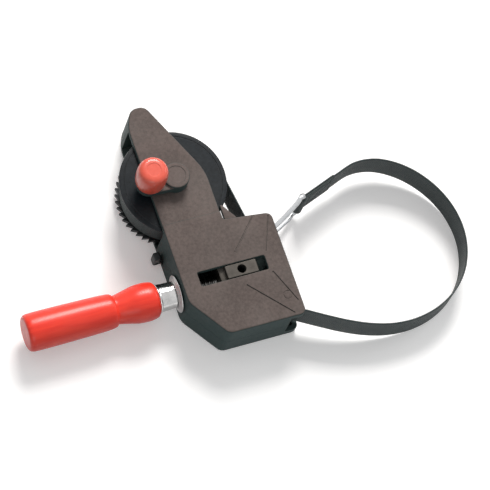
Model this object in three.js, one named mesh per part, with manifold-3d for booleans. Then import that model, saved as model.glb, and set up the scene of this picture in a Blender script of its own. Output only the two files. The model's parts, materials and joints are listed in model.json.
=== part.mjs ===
// Ratchet band clamp: a flat two-part housing with a band reel on its arm, a screw-driven
// tensioning carriage in its head, and the loop of band that goes round the work.
// Millimetres. +X points at the work, +Y runs along the arm to its tip, +Z is the crank's side.
import * as THREE from "three";
import { mergeVertices } from "three/addons/utils/BufferGeometryUtils.js";
import Module from "manifold-3d";

const wasm = await Module();
wasm.setup();

// Clearances
const fitGap = 0.3; // between pieces that sit in each other
const boreGap = 0.2; // round a pin in its socket
const runGap = 0.5; // round a sliding or turning piece
const overrun = 1; // how far a cut passes the face that it opens

// Band
const bandWidth = 25;
const bandThickness = 1.2;
const bandSideGap = 0.25;

// Reel on the arm
const reelX = -20;
const reelY = 78;
const reelGap = 0.7; // from the reel to each plate
const wheelThickness = 3.3;
const wheelRadius = 39;
const wheelToothDepth = 3;
const wheelTeeth = 48;
const coreRadius = 15;
const flangeOverhang = 1;
const flangeRadius = wheelRadius + flangeOverhang;
const flangeThickness = 1.8;
const rollRadius = 33;
const turnGrowthWidth = 1.7; // how much the outer turn climbs in one turn
const turnCount = 1.15;
const shaftHexRadius = 8;
const shaftJournalRadius = 6;
const shaftDriveRadius = 5;
const shaftDriveHeight = 6;

// Housing
const plateThickness = 4;
const wallThickness = 3.5;
const headBackX = -40;
const headFrontX = 41;
const headLowY = -45;
const shoulderFrontY = 36;
const shoulderArmY = 40;
const armFrontX = 5;
const slopeStartY = 80;
const tipY = 139.5;
const tipRightX = -22.5;
const tipLeftX = -33.5;
const tipEdgeY = 126;
const chamferStartY = -15;
const chamferEndX = -19;
const frontCornerRadius = 5;
const shoulderRadius = 2;
const slopeRadius = 9;
const tipRadius = 5;
const tipEdgeRadius = 7;
const chamferRadius = 4;
const edgeBevelWidth = 1.2;
const reelRoomGap = 1.5;
const tipWallY = 124;
const armStepY = 46;
const armStepDepth = 0.8;
const bossRadius = 4;

// Finger of the top plate beside the arm, over the band's way in
const fingerSlitWidth = 1.4;
const fingerReachLength = 11;
const fingerBaseWidth = 9.1;
const fingerTipWidth = 1.2;
const fingerRadius = 0.5;

// Window over the carriage, and the ribs of the top plate
const windowBackX = -27;
const windowFrontX = 25;
const windowWidth = 11;
const windowRadius = 1;
const ribLineWidth = 1.1;
const ribLineDepth = 0.7;
const ribInnerX = 5;
const ribInnerY = 13;
const ribInnerEndX = 31;
const ribInnerEndY = 40;
const ribOuterX = 27;
const ribOuterY = 8;
const ribOuterEndX = 38;
const ribOuterEndY = 34;

// Spindle, nut and handle
const spindleRadius = 6;
const nutLength = 7;
const nutWidth = 18;
const nutSkinThickness = 1.8; // housing wall left outside the nut
const nutLipLength = 2.5;
const neckRadius = 4;
const neckEndX = -3.6;
const washerRadius = 7;
const washerThickness = 0.9;
const ringRadius = 6;
const ringThickness = 1.5;
const ringGrooveDepth = 0.7;
const collarRadius = 14;
const collarRootRadius = 10.5;
const collarThickness = 2.5;
const collarStandoffGap = 1;
const ferruleLength = 13.5;
const ferruleFrontRadius = 10;
const ferruleBackRadius = 11;
const ferrulePinRadius = 1.5;
const handleLength = 100;
const handleRadius = 14;
const handleBoreDepth = 52;

// Carriage and rollers
const carriageBackX = -10.5;
const carriageFrontX = 18;
const carriageWallThickness = 4;
const carriageWidth = 22;
const carriageFloorThickness = 3;
const carriagePlateGap = 0.4;
const sliderBackX = -6;
const sliderWidth = 10;
const sliderSinkDepth = 0.6; // below the housing's top
const rollerX = 6;
const rollerRadius = 6;
const carriagePinRadius = 3;
const carriagePinSinkDepth = 2.9;
const railWidth = 2;
const railHeight = 3;
const railTopHeight = 1.5;

// Guides and anchor in the head
const guideRadius = 4.5;
const guidePinRadius = 2.5;
const innerGuideX = 20;
const innerGuideY = 24;
const outerGuideX = 31.8;
const outerGuideY = -28;
const guideBossRadius = 3.9;
const anchorX = 34.5;
const anchorY = 29.5;
const anchorRadius = 3;
const anchorBossRadius = 4.5;
const cornerClearance = 1.3; // between the band's edges and the corner openings
const hookCornerX = 27;
const hookCornerY = 21.5;
const exitCornerX = 30;
const exitCornerY = -33.5;

// Pawl
const pawlPivotGap = 7.45; // from the wheel's teeth to the pivot's middle
const pawlPivotDeg = -104.34;
const pawlThickness = 3.7;
const pawlHubRadius = 3.8;
const pawlPinRadius = 1.6;
const pawlArmGap = 2.9; // outside the wheel's teeth
const pawlArmWidth = 4;
const pawlNoseGap = 0.35; // outside the teeth, as at rest the nose stands lifted off a tooth's tip
const pawlNoseShare = 0.55; // of a tooth's pitch
const pawlNoseDeg = -70;
const pawlNoseGapDeg = 0.75;
const pawlTabX = -47;
const pawlTabRootX = -42;
const pawlTabWidth = 6;
const pawlTabHeight = 11;
const pawlSlotLowGap = 4.7; // from the pivot's middle
const pawlSlotHighGap = 5.6;
const springX = -15.5;
const springSeatY = 21;
const springSeatThickness = 2;
const springSeatWidth = 8;
const springSeatHeight = 8;
const springRadius = 2;
const springWireRadius = 0.35;
const springTurns = 6;

// Crank and knob
const crankRadius = 21;
const crankHubRadius = 10;
const crankHubHeight = 10.5;
const crankLeverRaiseHeight = 2.4; // above the underside of the hub
const crankLeverHeight = 6;
const crankEndRadius = 8.5;
const crankCapThickness = 2.2;
const crankScrewRadius = 2.5;
const crankScrewHeadRadius = 4.2;
const crankScrewHeadHeight = 3;
const knobLength = 24;
const knobRadius = 11.5;
const knobPinRadius = 3;
const knobPinNeckRadius = 2.6;
const knobPinReachLength = 17;
const knobWasherRadius = 4.5;
const knobWasherThickness = 1;

// Housing screws
const screwRadius = 1.75;
const screwHeadRadius = 3.5;
const screwHeadHeight = 2.2;
const screwSinkDepth = 0.4;
const screwTopMarginHeight = 6;
const screwPlaces = [
  [chamferEndX - bossRadius, headLowY + 5 * bossRadius],
  [(headBackX + headFrontX) / 6, headLowY + 2.5 * bossRadius],
  [headBackX + 3.5 * bossRadius, reelY - flangeRadius - 4.25 * bossRadius],
  [armFrontX + bossRadius, shoulderArmY - 2.5 * bossRadius],
  [headFrontX - 2.5 * bossRadius, 0],
  [(tipLeftX + tipRightX) / 2, tipY - 2.1 * bossRadius],
];

// Hook and the sewn end of the band
const hookWireRadius = 1.8;
const hookReachLength = 38;
const hookDirectionDeg = 20;
const hookProngHalfWidth = 8.5;
const hookBarHalfWidth = 16.6;
const hookCurlDeg = 205;
const sewnLength = 30;
const sewnThickness = 2.8;

// Free loop of band, chosen by hand, from the outer guide to the sewn end
const exitHeadingDeg = -30;
const loopRestGap = 0.2; // above the bench
const loopPoints = [
  [41, -39.6],
  [56, -48],
  [72, -56],
  [89, -62.4],
  [107, -66.2],
  [125.5, -66.2],
  [143, -62],
  [158.5, -53.4],
  [170.8, -40.8],
  [178.6, -25.2],
  [181.6, -8],
  [179.8, 9.4],
  [173.2, 25.8],
  [162.6, 40],
  [149, 51],
  [133.5, 57.8],
  [117.3, 58.8],
];
const dropStartShares = [0.04, 0.34];
const dropEndShares = [0.64, 0.97];

// Counts
const roundSides = 32;
const smallSides = 16;
const wireSides = 8;
const cornerSteps = 5;
const loopSteps = 72;
const turnSteps = 48;
const hookSteps = 56;
const springSteps = 8;

// Levels above the bench
const wheelLow = plateThickness + reelGap;
const coreLow = wheelLow + wheelThickness;
const bandLow = coreLow + bandSideGap;
const bandHigh = bandLow + bandWidth;
const coreHigh = bandHigh + bandSideGap;
const flangeHigh = coreHigh + flangeThickness;
const ceiling = flangeHigh + reelGap;
const bodyHeight = ceiling + plateThickness;
const armTop = bodyHeight - armStepDepth;
const bandMid = (bandLow + bandHigh) / 2;
const spindleZ = bodyHeight / 2;

// Places along the spindle
const nutBackX = headBackX + nutSkinThickness;
const nutFrontX = nutBackX + nutLength;
const lipFrontX = nutFrontX + nutLipLength;
const collarFrontX = headBackX - collarStandoffGap;
const collarBackX = collarFrontX - collarThickness;
const ferruleBackX = collarBackX - ferruleLength;
const carriageWallFrontX = carriageBackX + carriageWallThickness;
const ringBackX = carriageWallFrontX + washerThickness;

// The pawl's radii about the reel
const pawlArmInnerRadius = wheelRadius + pawlArmGap;
const pawlArmOuterRadius = pawlArmInnerRadius + pawlArmWidth;
const pawlNoseRadius = wheelRadius + pawlNoseGap;

const deg = THREE.MathUtils.degToRad;
const polar = (radius, degrees) => [
  reelX + radius * Math.cos(deg(degrees)),
  reelY + radius * Math.sin(deg(degrees)),
];
const [pawlX, pawlY] = polar(wheelRadius + pawlPivotGap, pawlPivotDeg);

// Solids

function solid(geometry) {
  const loose = geometry.index ? geometry.toNonIndexed() : geometry;
  const bare = new THREE.BufferGeometry();
  bare.setAttribute("position", loose.getAttribute("position"));
  const merged = mergeVertices(bare, 1e-4);
  const corners = merged.index.array;
  const kept = [];
  for (let i = 0; i < corners.length; i += 3) {
    const [a, b, c] = corners.slice(i, i + 3);
    if (a !== b && b !== c && c !== a) kept.push(a, b, c);
  }
  return new wasm.Manifold(
    new wasm.Mesh({
      numProp: 3,
      vertProperties: merged.attributes.position.array,
      triVerts: new Uint32Array(kept),
    }),
  );
}

function surface(body) {
  const mesh = body.getMesh();
  const geometry = new THREE.BufferGeometry();
  geometry.setAttribute("position", new THREE.BufferAttribute(mesh.vertProperties, 3));
  geometry.setIndex(new THREE.BufferAttribute(mesh.triVerts, 1));
  geometry.computeVertexNormals();
  return geometry;
}

const join = (...bodies) => bodies.reduce((all, body) => all.add(body));
const cut = (body, ...tools) => tools.reduce((rest, tool) => rest.subtract(tool), body);

function block([x0, x1], [y0, y1], [z0, z1]) {
  const box = new THREE.BoxGeometry(x1 - x0, y1 - y0, z1 - z0);
  return solid(box.translate((x0 + x1) / 2, (y0 + y1) / 2, (z0 + z1) / 2));
}

function post(x, y, radius, [z0, z1], sides = roundSides) {
  const round = new THREE.CylinderGeometry(radius, radius, z1 - z0, sides);
  return solid(round.rotateX(Math.PI / 2).translate(x, y, (z0 + z1) / 2));
}

function rod(radius, [x0, x1], sides = roundSides) {
  const round = new THREE.CylinderGeometry(radius, radius, x1 - x0, sides);
  return solid(round.rotateZ(Math.PI / 2).translate((x0 + x1) / 2, 0, spindleZ));
}

function slab(shape, [z0, z1]) {
  const flat = new THREE.ExtrudeGeometry(shape, {
    depth: z1 - z0,
    bevelEnabled: false,
    curveSegments: cornerSteps,
  });
  return solid(flat.translate(0, 0, z0));
}

const polygon = (points) => new THREE.Shape(points.map(([x, y]) => new THREE.Vector2(x, y)));

// A closed outline through [x, y, corner radius] points, each corner rounded by a curve.
function outline(corners) {
  const shape = new THREE.Shape();
  corners.forEach(([x, y, radius], i) => {
    const here = new THREE.Vector2(x, y);
    const towards = (other) => {
      const to = new THREE.Vector2(other[0], other[1]).sub(here);
      return here.clone().addScaledVector(to.normalize(), radius);
    };
    const start = towards(corners.at(i - 1));
    const end = towards(corners[(i + 1) % corners.length]);
    if (i === 0) shape.moveTo(start.x, start.y);
    else shape.lineTo(start.x, start.y);
    shape.quadraticCurveTo(x, y, end.x, end.y);
  });
  shape.closePath();
  return shape;
}

// The same outline drawn in by a wall's thickness: each edge moves in and meets its neighbour.
function inset(corners, distance) {
  return corners.map(([x, y, radius], i) => {
    const before = corners.at(i - 1);
    const after = corners[(i + 1) % corners.length];
    const first = new THREE.Vector2(x - before[0], y - before[1]).normalize();
    const second = new THREE.Vector2(after[0] - x, after[1] - y).normalize();
    const turn = first.cross(second);
    const along = (distance * (first.dot(second) - 1)) / turn;
    const corner = new THREE.Vector2(x - first.y * distance, y + first.x * distance);
    corner.addScaledVector(first, along);
    const inner = turn > 0 ? Math.max(radius - distance, radius / 4) : radius + distance;
    return [corner.x, corner.y, inner];
  });
}

// A turned piece from [distance along, radius] points, first and last on its axis or closed.
function turned(points, sides = roundSides) {
  const profile = points.map(([along, radius]) => new THREE.Vector2(radius, along));
  return new THREE.LatheGeometry(profile, sides);
}

const upright = (geometry, x, y, z) => solid(geometry.rotateX(Math.PI / 2).translate(x, y, z));
const backwards = (geometry, x) => solid(geometry.rotateZ(Math.PI / 2).translate(x, 0, spindleZ));

// Band routes

// The band's way round its wheels: each stop is { x, y, turn }, where turn is the radius of the
// band's middle, above zero with the wheel on the left. It gives one run per pair of stops.
function beltRuns(stops) {
  return stops.slice(1).map((next, i) => {
    const last = stops[i];
    const apart = new THREE.Vector2(next.x - last.x, next.y - last.y);
    const heading = apart.angle() - Math.asin((next.turn - last.turn) / apart.length());
    const leave = ({ x, y, turn }) => [x + turn * Math.sin(heading), y - turn * Math.cos(heading)];
    return { heading, start: leave(last), end: leave(next) };
  });
}

// Points round a stop from one heading to the next, both ends left out or kept.
function wrap({ x, y, turn }, from, to, steps) {
  const whole = 2 * Math.PI;
  const sweep = ((((to - from) * Math.sign(turn)) % whole) + whole) % whole;
  return Array.from({ length: steps + 1 }, (_, i) => {
    const heading = from + (Math.sign(turn) * sweep * i) / steps;
    return [x + turn * Math.sin(heading), y - turn * Math.cos(heading)];
  });
}

// A flat outline of the given thickness along a line of points.
function ribbon(points, thickness) {
  const sides = points.map(([x, y], i) => {
    const before = points[Math.max(i - 1, 0)];
    const after = points[Math.min(i + 1, points.length - 1)];
    const along = new THREE.Vector2(after[0] - before[0], after[1] - before[1]).normalize();
    const across = along.multiplyScalar(thickness / 2);
    return { left: [x - across.y, y + across.x], right: [x + across.y, y - across.x] };
  });
  return polygon([...sides.map((s) => s.right), ...sides.map((s) => s.left).reverse()]);
}

const shorten = ([x0, y0], [x1, y1], gap) => {
  const length = Math.hypot(x1 - x0, y1 - y0);
  return [x1 - ((x1 - x0) * gap) / length, y1 - ((y1 - y0) * gap) / length];
};

const turnStartRadius = rollRadius + fitGap + bandThickness / 2;
const turnEndRadius = turnStartRadius + turnGrowthWidth * turnCount;
const feedRadius = turnEndRadius + bandThickness + fitGap;
const bandOn = (radius) => radius + fitGap + bandThickness / 2;
const reelStop = { x: reelX, y: reelY, turn: -feedRadius };
const innerStop = { x: innerGuideX, y: innerGuideY, turn: -bandOn(guideRadius) };
const carriageStop = { x: rollerX, y: 0, turn: bandOn(rollerRadius) };
const outerStop = { x: outerGuideX, y: outerGuideY, turn: bandOn(guideRadius) };
const [feedRun, innerRun, outerRun] = beltRuns([reelStop, innerStop, carriageStop, outerStop]);

// Housing

const bodyCorners = [
  [headFrontX, headLowY, frontCornerRadius],
  [headFrontX, shoulderFrontY, frontCornerRadius],
  [armFrontX, shoulderArmY, shoulderRadius],
  [armFrontX, slopeStartY, slopeRadius],
  [tipRightX, tipY, tipRadius],
  [tipLeftX, tipY, tipRadius],
  [headBackX, tipEdgeY, tipEdgeRadius],
  [headBackX, chamferStartY, chamferRadius],
  [chamferEndX, headLowY, chamferRadius],
];
const everyX = [headBackX - overrun, headFrontX + overrun];
const everyY = [headLowY - overrun, tipY + overrun];
const inside = [plateThickness, ceiling];
const aroundSpindle = (half) => [spindleZ - half, spindleZ + half];
const columnHalfWidth = nutWidth / 2 + wallThickness;
const nutHalf = nutWidth / 2 + boreGap;
const railLow = carriageWidth / 2 + fitGap;
const railHigh = railLow + railWidth;
const cornerLevels = [bandLow - cornerClearance, bandHigh + cornerClearance];

function housingShell() {
  const outer = new THREE.ExtrudeGeometry(outline(bodyCorners), {
    depth: bodyHeight - 2 * edgeBevelWidth,
    bevelThickness: edgeBevelWidth,
    bevelSize: edgeBevelWidth,
    bevelOffset: -edgeBevelWidth,
    bevelSegments: 2,
    curveSegments: cornerSteps,
  });
  const cavity = slab(outline(inset(bodyCorners, wallThickness)), inside);
  const tipWall = block([headBackX, armFrontX], [tipWallY, tipWallY + wallThickness], inside).intersect(
    slab(outline(bodyCorners), inside),
  );
  return join(cut(solid(outer.translate(0, 0, edgeBevelWidth)), cavity), tipWall);
}

function housingOpenings() {
  const beyondX = headFrontX + overrun;
  const lowest = headLowY - overrun;
  const slotLevels = [plateThickness, wheelLow + pawlThickness + runGap];
  const feedWall = [shoulderFrontY - wallThickness, shoulderArmY + overrun];
  const backWall = [headBackX - overrun, headBackX + wallThickness + overrun];
  return join(
    post(reelX, reelY, flangeRadius + reelRoomGap, inside, 2 * roundSides),
    block([headBackX - overrun, beyondX], [reelY, tipWallY], inside),
    block([hookCornerX, beyondX], [hookCornerY, shoulderArmY + overrun], cornerLevels),
    block([innerGuideX - guideRadius, beyondX], feedWall, cornerLevels),
    block([exitCornerX, beyondX], [lowest, exitCornerY], cornerLevels),
    block(backWall, [pawlY - pawlSlotLowGap, pawlY + pawlSlotHighGap], slotLevels),
  );
}

function housingFittings() {
  const railLevels = [
    [plateThickness, plateThickness + railHeight],
    [ceiling - railTopHeight, ceiling],
  ];
  const railSides = [
    [railLow, railHigh],
    [-railHigh, -railLow],
  ];
  const rails = railLevels.flatMap((levels) =>
    railSides.map((across) => block([lipFrontX, carriageFrontX], across, levels)),
  );
  const guideBosses = [
    [innerGuideX, innerGuideY, guideBossRadius],
    [outerGuideX, outerGuideY, guideBossRadius],
    [anchorX, anchorY, anchorBossRadius],
  ];
  return join(
    block([headBackX + wallThickness / 2, lipFrontX], [-columnHalfWidth, columnHalfWidth], inside),
    ...rails,
    ...screwPlaces.map(([x, y]) => post(x, y, bossRadius, inside, smallSides)),
    ...guideBosses.flatMap(([x, y, radius]) => [
      post(x, y, radius, [plateThickness, coreLow], smallSides),
      post(x, y, radius, [coreHigh, ceiling], smallSides),
    ]),
    post(pawlX, pawlY, pawlHubRadius, [plateThickness, wheelLow - fitGap], smallSides),
    block(
      [springX - springSeatWidth / 2, springX + springSeatWidth / 2],
      [springSeatY, springSeatY + springSeatThickness],
      [plateThickness, plateThickness + springSeatHeight],
    ),
  );
}

const socketLevels = [plateThickness / 2, bodyHeight - plateThickness / 2];
const pinPlaces = [
  [innerGuideX, innerGuideY, guidePinRadius],
  [outerGuideX, outerGuideY, guidePinRadius],
  [anchorX, anchorY, anchorRadius],
  [pawlX, pawlY, pawlPinRadius],
];

function housingBores() {
  return join(
    rod(spindleRadius + runGap, [headBackX - overrun, lipFrontX + overrun]),
    block([nutBackX - boreGap, nutFrontX + boreGap], [-nutHalf, nutHalf], aroundSpindle(nutHalf)),
    post(reelX, reelY, shaftJournalRadius + boreGap, [-overrun, bodyHeight + overrun]),
    ...pinPlaces.map(([x, y, radius]) => post(x, y, radius + boreGap, socketLevels, smallSides)),
    ...screwPlaces.flatMap(([x, y]) => [
      post(x, y, screwRadius + boreGap, [-overrun, bodyHeight - screwTopMarginHeight], smallSides),
      post(x, y, screwHeadRadius + boreGap, [-overrun, screwSinkDepth + screwHeadHeight], smallSides),
    ]),
  );
}

// One engraved line between two places on the top plate.
function ribLine([x0, y0], [x1, y1]) {
  const line = ribbon([[x0, y0], [x1, y1]], ribLineWidth);
  return slab(line, [bodyHeight - ribLineDepth, bodyHeight + overrun]);
}

function topMarks() {
  const half = windowWidth / 2;
  const opening = outline([
    [windowBackX, -half, windowRadius],
    [windowFrontX, -half, windowRadius],
    [windowFrontX, half, windowRadius],
    [windowBackX, half, windowRadius],
  ]);
  return join(
    slab(opening, [ceiling - overrun, bodyHeight + overrun]),
    block(everyX, [armStepY, tipY + overrun], [armTop, bodyHeight + overrun]),
    ...[-1, 1].flatMap((side) => [
      ribLine([ribInnerX, side * ribInnerY], [ribInnerEndX, side * ribInnerEndY]),
      ribLine([ribOuterX, side * ribOuterY], [ribOuterEndX, side * ribOuterEndY]),
    ]),
  );
}

const housing = cut(join(cut(housingShell(), housingOpenings()), housingFittings()), housingBores());
const fingerBackX = armFrontX + fingerSlitWidth;
const fingerBaseX = fingerBackX + fingerBaseWidth;
const fingerTipX = fingerBackX + fingerTipWidth;
const fingerTipY = shoulderArmY + fingerReachLength;

function plateFinger() {
  const footY = shoulderArmY - wallThickness;
  const corners = [
    [fingerBackX, footY, fingerRadius],
    [fingerBaseX, footY, fingerRadius],
    [fingerBaseX, shoulderArmY - edgeBevelWidth, fingerRadius],
    [fingerTipX, fingerTipY, fingerRadius],
    [fingerBackX, fingerTipY, fingerRadius],
  ];
  return slab(outline(corners), [ceiling, armTop]);
}

const upperHalf = block(everyX, everyY, [spindleZ, bodyHeight + overrun]);
const housingBottom = () => housing.intersect(block(everyX, everyY, [-overrun, spindleZ]));
const housingTop = () => cut(join(housing.intersect(upperHalf), plateFinger()), topMarks());

function housingScrew([x, y]) {
  const head = screwSinkDepth + screwHeadHeight;
  const points = [
    [screwSinkDepth, 0],
    [screwSinkDepth, screwHeadRadius],
    [head, screwHeadRadius],
    [head, screwRadius],
    [bodyHeight - screwTopMarginHeight - fitGap, screwRadius],
    [bodyHeight - screwTopMarginHeight - fitGap, 0],
  ];
  return upright(turned(points, smallSides), x, y, 0);
}

function dowel([x, y, radius]) {
  return post(x, y, radius, [socketLevels[0], socketLevels[1] - boreGap], smallSides);
}

// Reel

function hexBar(radius, levels) {
  return post(reelX, reelY, radius, levels, 6);
}

const hexHole = (levels) => hexBar(shaftHexRadius + fitGap, [levels[0] - overrun, levels[1] + overrun]);

function reelShaft() {
  const bore = crankScrewRadius + boreGap;
  const shaft = join(
    post(reelX, reelY, shaftJournalRadius, [screwSinkDepth, armTop]),
    hexBar(shaftHexRadius, [plateThickness + fitGap, ceiling - fitGap]),
    post(reelX, reelY, shaftDriveRadius, [ceiling, armTop + shaftDriveHeight], 4),
  );
  const headLevels = [-overrun, screwSinkDepth + crankScrewHeadHeight];
  const headRoom = post(reelX, reelY, crankScrewHeadRadius + boreGap, headLevels, smallSides);
  const boreLevels = [-overrun, bodyHeight + shaftDriveHeight];
  return cut(shaft, post(reelX, reelY, bore, boreLevels, smallSides), headRoom);
}

function ratchetWheel() {
  const root = wheelRadius - wheelToothDepth;
  const step = (2 * Math.PI) / wheelTeeth;
  const points = [];
  for (let i = 0; i < wheelTeeth; i++) {
    const angle = deg(pawlNoseDeg) + i * step;
    for (const radius of [root, wheelRadius]) {
      points.push([reelX + radius * Math.cos(angle), reelY + radius * Math.sin(angle)]);
    }
  }
  return cut(slab(polygon(points), [wheelLow, coreLow]), hexHole([wheelLow, coreLow]));
}

const reelCore = () => cut(post(reelX, reelY, coreRadius, [coreLow, coreHigh]), hexHole([coreLow, coreHigh]));
const flangeLevels = [coreHigh, flangeHigh];
const reelFlange = () =>
  cut(post(reelX, reelY, flangeRadius, flangeLevels, 2 * roundSides), hexHole(flangeLevels));

function bandRoll() {
  const roll = post(reelX, reelY, rollRadius, [bandLow, bandHigh], turnSteps);
  return cut(roll, post(reelX, reelY, coreRadius + fitGap, [bandLow - overrun, bandHigh + overrun]));
}

function outerTurnPoints() {
  const steps = Math.round(turnSteps * turnCount);
  return Array.from({ length: steps + 1 }, (_, i) => {
    const turns = (turnCount * i) / steps;
    const radius = turnStartRadius + turnGrowthWidth * turns;
    const angle = 2 * Math.PI * (turnCount - turns);
    return [reelX + radius * Math.cos(angle), reelY + radius * Math.sin(angle)];
  });
}

function printLeastGap(points) {
  let least = Infinity;
  points.forEach(([x0, y0], i) =>
    points.slice(i + turnSteps / 2).forEach(([x1, y1]) => {
      least = Math.min(least, Math.hypot(x1 - x0, y1 - y0) - bandThickness);
    }),
  );
  console.log(`band_outer_turn: least gap to itself ${least.toFixed(2)} mm`);
}

function bandOuterTurn() {
  const points = outerTurnPoints();
  printLeastGap(points);
  return slab(ribbon(points, bandThickness), [bandLow, bandHigh]);
}

// Crank

const crankLow = armTop + fitGap;
const crankHigh = crankLow + crankHubHeight;
const leverLevels = [crankLow + crankLeverRaiseHeight, crankLow + crankLeverRaiseHeight + crankLeverHeight];
const knobX = reelX - crankRadius;
const knobWasherHigh = leverLevels[1] + fitGap + knobWasherThickness;
const knobLow = knobWasherHigh + fitGap;

function crankArm() {
  const driveLevels = [crankLow - overrun, armTop + shaftDriveHeight + fitGap];
  const lever = polygon([
    [reelX, reelY - crankHubRadius],
    [reelX, reelY + crankHubRadius],
    [knobX, reelY + crankEndRadius],
    [knobX, reelY - crankEndRadius],
  ]);
  const body = join(
    post(reelX, reelY, crankHubRadius, [crankLow, crankHigh]),
    slab(lever, leverLevels),
    post(knobX, reelY, crankEndRadius, leverLevels),
  );
  return cut(
    body,
    post(reelX, reelY, shaftDriveRadius + fitGap, driveLevels, 4),
    post(reelX, reelY, crankScrewRadius + boreGap, [crankLow, crankHigh - crankCapThickness], smallSides),
    post(knobX, reelY, knobPinRadius + boreGap, [leverLevels[0] - overrun, crankHigh], smallSides),
  );
}

function crankScrew() {
  const head = screwSinkDepth + crankScrewHeadHeight;
  const end = crankHigh - crankCapThickness - fitGap;
  const points = [[screwSinkDepth, 0], [screwSinkDepth, crankScrewHeadRadius], [head, crankScrewHeadRadius]];
  points.push([head, crankScrewRadius], [end, crankScrewRadius], [end, 0]);
  return upright(turned(points, smallSides), reelX, reelY, 0);
}

function knobPin() {
  const shoulder = leverLevels[1] + fitGap;
  const points = [
    [leverLevels[0], 0],
    [leverLevels[0], knobPinRadius],
    [shoulder, knobPinRadius],
    [shoulder, knobWasherRadius],
    [knobWasherHigh, knobWasherRadius],
    [knobWasherHigh, knobPinNeckRadius],
    [knobWasherHigh + knobPinReachLength, knobPinNeckRadius],
    [knobWasherHigh + knobPinReachLength, 0],
  ];
  return upright(turned(points, smallSides), knobX, reelY, 0);
}

const knobAlongShares = [0, 0.05, 0.25, 0.5, 0.75, 0.92, 0.99, 1];
const knobRadiusShares = [0.8, 0.89, 0.98, 1, 0.985, 0.91, 0.74, 0.5];

function crankKnob() {
  const points = knobAlongShares.map((share, i) => [share * knobLength, knobRadiusShares[i] * knobRadius]);
  const bore = knobPinReachLength + 2 * fitGap;
  points.unshift([bore, 0], [bore, knobPinNeckRadius + fitGap], [0, knobPinNeckRadius + fitGap]);
  points.push([knobLength, 0]);
  return upright(turned(points), knobX, reelY, knobLow);
}

// Pawl

function pawl() {
  const noseDeg = (pawlNoseShare * 360) / wheelTeeth;
  const faceDeg = pawlNoseDeg - pawlNoseGapDeg;
  const hubDeg = THREE.MathUtils.radToDeg(Math.atan2(pawlY - reelY, pawlX - reelX));
  const arc = (radius, from, to) =>
    Array.from({ length: cornerSteps + 1 }, (_, i) => polar(radius, from + ((to - from) * i) / cornerSteps));
  const arm = polygon([
    ...arc(pawlArmOuterRadius, hubDeg, faceDeg),
    polar(pawlArmInnerRadius, faceDeg),
    polar(pawlNoseRadius, faceDeg),
    polar(pawlArmInnerRadius, faceDeg - noseDeg),
    ...arc(pawlArmInnerRadius, faceDeg - noseDeg, hubDeg).slice(1),
  ]);
  const thin = [wheelLow, wheelLow + pawlThickness];
  const half = pawlTabWidth / 2;
  return cut(
    join(
      slab(arm, thin),
      post(pawlX, pawlY, pawlHubRadius, thin, smallSides),
      block([pawlTabX, pawlX], [pawlY - half, pawlY + half], thin),
      block([pawlTabX, pawlTabRootX], [pawlY - half, pawlY + half], [wheelLow, wheelLow + pawlTabHeight]),
    ),
    post(pawlX, pawlY, pawlPinRadius + boreGap, [wheelLow - overrun, ceiling], smallSides),
  );
}

class Helix extends THREE.Curve {
  constructor(length) {
    super();
    this.length = length;
  }

  getPoint(share) {
    const angle = 2 * Math.PI * springTurns * share;
    const across = springRadius * Math.cos(angle);
    return new THREE.Vector3(across, this.length * share, springRadius * Math.sin(angle));
  }
}

function pawlSpring() {
  const low = springSeatY + springSeatThickness + fitGap + springWireRadius;
  const reach = Math.sqrt(pawlArmOuterRadius ** 2 - (springX + springRadius - reelX) ** 2);
  const high = reelY - reach - fitGap - springWireRadius;
  const section = new THREE.Shape().absarc(0, 0, springWireRadius, 0, 2 * Math.PI);
  const coil = new THREE.ExtrudeGeometry(section, {
    steps: springSteps * springTurns,
    extrudePath: new Helix(high - low),
    curveSegments: cornerSteps,
  });
  return solid(coil.translate(springX, low, wheelLow + pawlThickness / 2));
}

// Carriage

const carriageLow = plateThickness + carriagePlateGap;
const carriageHigh = ceiling - carriagePlateGap;
const sliderHigh = bodyHeight - sliderSinkDepth;
const carriagePinLow = carriageLow + carriageFloorThickness / 3;

function carriage() {
  const half = carriageWidth / 2;
  const across = [-half, half];
  const slider = sliderWidth / 2;
  const body = join(
    block([carriageBackX, carriageWallFrontX], across, [carriageLow, carriageHigh]),
    block([carriageBackX, carriageFrontX], across, [carriageLow, carriageLow + carriageFloorThickness]),
    block([carriageBackX, carriageFrontX], across, [coreHigh + fitGap, carriageHigh]),
    block([sliderBackX, carriageFrontX], [-slider, slider], [coreHigh + fitGap, sliderHigh]),
  );
  return cut(
    body,
    rod(neckRadius + fitGap, [carriageBackX - overrun, carriageWallFrontX + overrun]),
    post(rollerX, 0, carriagePinRadius + boreGap, [carriagePinLow, bodyHeight + overrun], smallSides),
  );
}

const carriagePin = () =>
  post(rollerX, 0, carriagePinRadius, [carriagePinLow, sliderHigh - carriagePinSinkDepth], smallSides);

function roller(x, y, radius, pinRadius) {
  const levels = [coreLow + fitGap, coreHigh - fitGap];
  return cut(post(x, y, radius, levels), post(x, y, pinRadius + fitGap, [coreLow, coreHigh], smallSides));
}

// Spindle

const spindleEndX = ferruleBackX - handleBoreDepth + runGap;
const ferrulePinX = (collarBackX + ferruleBackX) / 2;
const ferrulePinLevels = [spindleZ - ferruleFrontRadius, spindleZ + ferruleFrontRadius];

function spindle() {
  const shoulderX = carriageBackX - fitGap;
  const body = join(rod(spindleRadius, [spindleEndX, shoulderX]), rod(neckRadius, [spindleEndX, neckEndX]));
  const grooveX = [ringBackX, ringBackX + ringThickness + boreGap];
  const groove = cut(rod(neckRadius + overrun, grooveX), rod(neckRadius - ringGrooveDepth, grooveX));
  return cut(body, groove, post(ferrulePinX, 0, ferrulePinRadius + boreGap, [0, bodyHeight], smallSides));
}

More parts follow.
